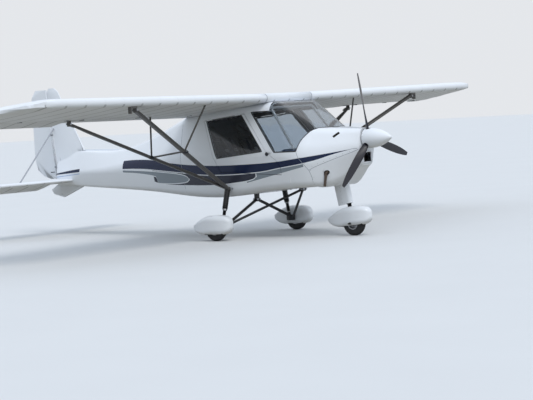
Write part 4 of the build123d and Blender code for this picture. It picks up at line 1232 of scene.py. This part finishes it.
class AERO_OT_gear(Operator):
    """Dress the gear: boots, bolts and brakes"""
    bl_idname = "aero.gear"
    bl_label = "Gear fittings"

    def execute(self, context):
        for name, side in SIDES:
            self.shock(name, side)
            self.ends(name, side)
            self.wheel("main_" + name, "wheel_" + name, side)
            self.brake(name, side)
        self.wheel("nose", "nose_wheel", 1.0)
        self.wheel("nose", "nose_wheel", -1.0)
        bm = bmesh.new()
        tree = tree_of("nose_leg_fairing")
        for side in (1.0, -1.0):
            studs(bm, tree, from_side(FAIRING_HEADS, side, 60.0), 0.004)
        add_piece(bm, "fairing_screws", "airframe", "bright")
        bm = bmesh.new()
        top, foot = point(*LEG_TOP), point(*LEG_FOOT)
        way = (foot - top).normalized()
        bar(bm, foot - way * 0.030, foot - way * 0.012, 0.036, 0.034, 28)
        add_piece(bm, "leg_collar", "airframe", "black")
        return {"FINISHED"}

    def shock(self, name, side):
        """Coils of rubber and the end rings of one shock strut."""
        top, foot = on_side(SHOCK_TOP, side), on_side(SHOCK_FOOT, side)
        run = foot - top
        bm = bmesh.new()
        for index in range(SHOCK_RINGS):
            place = top + run * (SHOCK_RING_FIRST + SHOCK_RING_STEP * index)
            self.collar(bm, place, run.normalized(), 0.0345, 0.0045)
        add_piece(bm, "shock_rings_" + name, "airframe", "black")
        bm = bmesh.new()
        for share, radius in SHOCK_CLIPS:
            self.collar(bm, top + run * share, run.normalized(), radius, 0.006)
        add_piece(bm, "shock_clips_" + name, "airframe", "bright")

    def collar(self, bm, place, way, radius, thick):
        """A round ring about a bar."""
        side = way.cross(Vector((1, 0, 0))).normalized()
        lift = way.cross(side)
        stations = []
        for index in range(24):
            angle = 2 * math.pi * index / 24
            out = side * math.cos(angle) + lift * math.sin(angle)
            stations.append((place + out * (radius - thick * 0.5), out, way))
        sweep(bm, stations, round_section(thick, 8), True)

    def ends(self, name, side):
        """Bolts and washers at the ends of the gear's arms."""
        bm = bmesh.new()
        for pin in ARM_PINS:
            place = on_side(pin, side)
            bar(bm, place + Vector((-0.034, 0, 0)), place + Vector((0.034, 0, 0)), 0.007, sides=6)
            for way in (-1, 1):
                end = place + Vector((way * 0.030, 0, 0))
                bar(bm, end, end + Vector((way * 0.008, 0, 0)), 0.013, sides=6)
        add_piece(bm, "arm_bolts_" + name, "airframe", "bright")

    def wheel(self, tag, body, side):
        """Rim bolts and the valve on one face of a wheel."""
        low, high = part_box("rim_" + tag)
        middle = (low + high) / 2
        way = Vector((0, side, 0))
        web = middle + way * RIM_WEB
        bm = bmesh.new()
        for index in range(RIM_BOLTS):
            angle = 2 * math.pi * index / RIM_BOLTS
            out = Vector((math.cos(angle), 0, math.sin(angle)))
            place = web + out * BOLT_CIRCLE
            bar(bm, place, place + way * 0.006, 0.0065, sides=6)
            bar(bm, place, place + way * 0.0015, 0.0085, sides=14)
        out = Vector((math.cos(0.5), 0, math.sin(0.5)))
        bar(bm, web + out * 0.058, web + out * 0.058 + way * 0.022, 0.0035, 0.003, 10)
        label = tag if side > 0 else tag + "_inner"
        add_piece(bm, "rim_bolts_" + label, body, "bright")

    def brake(self, name, side):
        """The brake's disc on the wheel's inner side."""
        low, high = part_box("rim_main_" + name)
        middle = (low + high) / 2
        face = Vector((0, -side, 0))
        bm = bmesh.new()
        bar(bm, middle + face * 0.018, middle + face * 0.022, 0.060, sides=40)
        add_piece(bm, "brake_disc_" + name, "wheel_" + name, "bright")


class AERO_OT_struts(Operator):
    """Fit the struts' bolts and the clamps round their middles"""
    bl_idname = "aero.struts"
    bl_label = "Strut fittings"

    def execute(self, context):
        for name, side in SIDES:
            bm = bmesh.new()
            foot = on_side(STRUT_FOOT, side)
            for end_place in STRUT_TOPS:
                top = on_side(end_place, side)
                bar(bm, top + Vector((-0.036, 0, 0)), top + Vector((0.036, 0, 0)), 0.0075, sides=6)
                for end in (-1, 1):
                    place = top + Vector((end * 0.030, 0, 0))
                    bar(bm, place, place + Vector((end * 0.008, 0, 0)), 0.0135, sides=6)
            bar(bm, foot + Vector((-0.060, 0, 0)), foot + Vector((0.060, 0, 0)), 0.008, sides=6)
            for end in (-1, 1):
                place = foot + Vector((end * 0.052, 0, 0))
                bar(bm, place, place + Vector((end * 0.010, 0, 0)), 0.015, sides=6)
            add_piece(bm, "strut_bolts_" + name, "airframe", "bright")
            bm = bmesh.new()
            for end_place in STRUT_TOPS:
                top = on_side(end_place, side)
                middle = foot + (top - foot) * 0.5
                way = (top - foot).normalized()
                ring = []
                along = Vector((1, 0, 0))
                along = (along - way * along.dot(way)).normalized()
                lift = way.cross(along)
                for index in range(28):
                    angle = 2 * math.pi * index / 28
                    out = along * math.cos(angle) * 0.047 + lift * math.sin(angle) * 0.020
                    ring.append((middle + out, out.normalized(), way))
                sweep(bm, ring, [(-0.002, -0.016), (0.003, -0.016), (0.003, 0.016),
                                 (-0.002, 0.016)], True)
            add_piece(bm, "jury_clamps_" + name, "airframe", "dark_metal")
        return {"FINISHED"}


class AERO_OT_tail(Operator):
    """Fit the rudder's hinges and horn"""
    bl_idname = "aero.tail"
    bl_label = "Tail fittings"

    def execute(self, context):
        low, high = [point(*pin) for pin in RUDDER_PINS]
        bm = bmesh.new()
        for share in RUDDER_HINGE_SHARES:
            place = low.lerp(high, share)
            for side in (-1, 1):
                block(bm, place + Vector((0.012, side * 0.017, 0)), (0.050, 0.003, 0.022), None,
                      0.001)
            way = (high - low).normalized()
            bar(bm, place - way * 0.026, place + way * 0.026, 0.006, sides=10)
        add_piece(bm, "rudder_hinges", "airframe", "fitting")
        bm = bmesh.new()
        hinge = low.lerp(high, 0.06)
        for side in (-1, 1):
            bar(bm, hinge + Vector((-0.03, 0, 0)), hinge + Vector((-0.03, side * 0.085, 0)), 0.006)
        add_piece(bm, "rudder_horn", "rudder", "dark_metal")
        return {"FINISHED"}


class AERO_OT_wingware(Operator):
    """Fit the wing's root joint, surface hinges and filler cap"""
    bl_idname = "aero.wingware"
    bl_label = "Wing fittings"

    def execute(self, context):
        for name, side in SIDES:
            wing = merged_copy("wing_" + name)
            band = self.slice(wing, *(side * place for place in ROOT_JOINT))
            for vert in band.verts:
                vert.co += vert.normal * 0.0012
            add_piece(band, "root_joint_" + name, "airframe", "joint")
            tree = tree_of("wing_" + name)
            bm = bmesh.new()
            self.hinges(bm, name, side)
            add_piece(bm, "surface_hinges_" + name, "airframe", "fitting")
            bm = bmesh.new()
            for place, normal in landings(tree, from_above([(FILLER[0], side * FILLER[1])])):
                bar(bm, place - normal * 0.004, place + normal * 0.010, 0.034, 0.031, 32)
                bar(bm, place + normal * 0.010, place + normal * 0.014, 0.022, 0.018, 24)
            add_piece(bm, "filler_cap_" + name, "airframe", "fitting")
        return {"FINISHED"}

    def slice(self, bm, first, last):
        """What lies between two stations of the span."""
        low, high = sorted((first, last))
        for place, way in ((low, -1), (high, 1)):
            geometry = bm.verts[:] + bm.edges[:] + bm.faces[:]
            bmesh.ops.bisect_plane(bm, geom=geometry, dist=1e-6, plane_co=(0, place, 0),
                                   plane_no=(0, way, 0), clear_outer=True)
        flat = [face for face in bm.faces if abs(face.normal.y) > 0.7]
        bmesh.ops.delete(bm, geom=flat, context="FACES")
        bm.normal_update()
        return bm

    def hinges(self, bm, name, side):
        """Brackets under the flap's and the aileron's noses."""
        for node in ("flap_" + name, "aileron_" + name):
            low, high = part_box(node)
            inner, outer = sorted((abs(low.y), abs(high.y)))
            if node.startswith("aileron"):
                outer -= TIP_BEYOND_HINGE
            for share in SURFACE_HINGE_SHARES:
                y = side * (inner + (outer - inner) * share)
                tree = tree_of("wing_" + name)
                spots = landings(tree, [(Vector((SURFACE_HINGE_X, y, 0.5)), Vector((0, 0, 1)))])
                for place, _ in spots:
                    block(bm, place + Vector((-0.022, 0, -0.004)), (0.080, 0.007, 0.014), None,
                          0.002)


class AERO_OT_stage(Operator):
    """Lay the floor, hang the lamps and set the camera"""
    bl_idname = "aero.stage"
    bl_label = "Stage"

    def execute(self, context):
        settings = context.scene.aero_stage
        bm = bmesh.new()
        bmesh.ops.create_grid(bm, x_segments=2, y_segments=2, size=settings.floor_size / 2)
        mesh = bpy.data.meshes.new("floor")
        bm.to_mesh(mesh)
        bm.free()
        floor = bpy.data.objects.new("floor", mesh)
        context.scene.collection.objects.link(floor)
        shade = Shade("floor")
        mottle = shade.noise(0.8, detail=3.0)
        seen = shade.mix(mottle, (0.70, 0.705, 0.71), (0.67, 0.675, 0.68))
        path = shade.add("ShaderNodeLightPath").outputs
        clear = shade.math("MAXIMUM", path["Is Camera Ray"], path["Is Glossy Ray"])
        clear = shade.math("MAXIMUM", clear, path["Is Transmission Ray"])
        tint = shade.mix(clear, tuple(settings.ground), seen)
        mesh.materials.append(shade.finish(tint, 0.9))
        self.light(context, settings)
        self.camera(context, settings)
        context.scene.view_settings.view_transform = "Standard"
        return {"FINISHED"}

    def light(self, context, settings):
        """A broad sun ahead of the nose and a pale sky."""
        sun_data = bpy.data.lights.new("sun", "SUN")
        sun_data.energy = settings.sun_power
        sun_data.angle = math.radians(24)
        sun_data.color = (1.0, 0.985, 0.96)
        sun = bpy.data.objects.new("sun", sun_data)
        context.scene.collection.objects.link(sun)
        sun.rotation_euler = (math.radians(16), math.radians(36), 0)
        world = bpy.data.worlds.new("sky")
        context.scene.world = world
        world.use_nodes = True
        nodes, links = world.node_tree.nodes, world.node_tree.links
        nodes.clear()
        output = nodes.new("ShaderNodeOutputWorld")
        blend = nodes.new("ShaderNodeMixShader")
        sky = nodes.new("ShaderNodeBackground")
        sky.inputs["Color"].default_value = (0.77, 0.87, 1.0, 1.0)
        sky.inputs["Strength"].default_value = settings.sky_power
        backdrop = nodes.new("ShaderNodeBackground")
        backdrop.inputs["Color"].default_value = (0.78, 0.80, 0.83, 1.0)
        path = nodes.new("ShaderNodeLightPath")
        seen = path.outputs["Is Camera Ray"]
        for name in ("Is Glossy Ray", "Is Transmission Ray"):
            highest = nodes.new("ShaderNodeMath")
            highest.operation = "MAXIMUM"
            links.new(seen, highest.inputs[0])
            links.new(path.outputs[name], highest.inputs[1])
            seen = highest.outputs[0]
        links.new(seen, blend.inputs[0])
        links.new(sky.outputs[0], blend.inputs[1])
        links.new(backdrop.outputs[0], blend.inputs[2])
        links.new(blend.outputs[0], output.inputs["Surface"])

    def camera(self, context, settings):
        """The camera, from the photograph's own fit."""
        data = bpy.data.cameras.new("camera")
        data.lens = settings.lens
        data.sensor_width = 36.0
        data.clip_end = 500.0
        heading, pitch, roll = settings.heading, settings.pitch, settings.roll
        ahead = Vector((-math.cos(heading) * math.cos(pitch), math.sin(heading) * math.cos(pitch),
                        math.sin(pitch)))
        level = ahead.cross(Vector((0, 0, 1))).normalized()
        above = level.cross(ahead)
        right = level * math.cos(roll) + above * math.sin(roll)
        top = above * math.cos(roll) - level * math.sin(roll)
        matrix = Matrix((right, top, -ahead)).transposed().to_4x4()
        matrix.translation = Vector(settings.camera_at)
        camera = bpy.data.objects.new("camera", data)
        context.scene.collection.objects.link(camera)
        camera.matrix_world = matrix
        context.scene.camera = camera


class AERO_PT_list(Panel):
    """Buttons for each group of pieces"""
    bl_idname = "AERO_PT_list"
    bl_label = "Microlight"
    bl_space_type = "VIEW_3D"
    bl_region_type = "UI"
    bl_category = "Microlight"

    def draw(self, context):
        for operator in BUILD_ORDER:
            self.layout.operator(operator.bl_idname)


BUILD_ORDER = (AERO_OT_paint, AERO_OT_wings, AERO_OT_wheels, AERO_OT_seats, AERO_OT_belts,
               AERO_OT_panel, AERO_OT_seams, AERO_OT_windows, AERO_OT_doors, AERO_OT_nose,
               AERO_OT_gear, AERO_OT_struts, AERO_OT_tail, AERO_OT_wingware, AERO_OT_stage)
CLASSES = (PaintSettings, StageSettings, DetailSettings) + BUILD_ORDER + (AERO_PT_list,)


def register():
    """Make the settings and the operators known."""
    for cls in CLASSES:
        bpy.utils.register_class(cls)
    bpy.types.Scene.aero_paint = PointerProperty(type=PaintSettings)
    bpy.types.Scene.aero_stage = PointerProperty(type=StageSettings)
    bpy.types.Scene.aero_detail = PointerProperty(type=DetailSettings)


def unregister():
    """Take them away again."""
    del bpy.types.Scene.aero_detail
    del bpy.types.Scene.aero_stage
    del bpy.types.Scene.aero_paint
    for cls in reversed(CLASSES):
        bpy.utils.unregister_class(cls)


def main():
    """Build everything."""
    register()
    bpy.ops.aero.paint()
    bpy.ops.aero.wings()
    bpy.ops.aero.wheels()
    bpy.ops.aero.seats()
    bpy.ops.aero.belts()
    bpy.ops.aero.instruments()
    bpy.ops.aero.seams()
    bpy.ops.aero.windows()
    bpy.ops.aero.doors()
    bpy.ops.aero.nose()
    bpy.ops.aero.gear()
    bpy.ops.aero.struts()
    bpy.ops.aero.tail()
    bpy.ops.aero.wingware()
    bpy.ops.aero.stage()


if __name__ == "__main__":
    main()
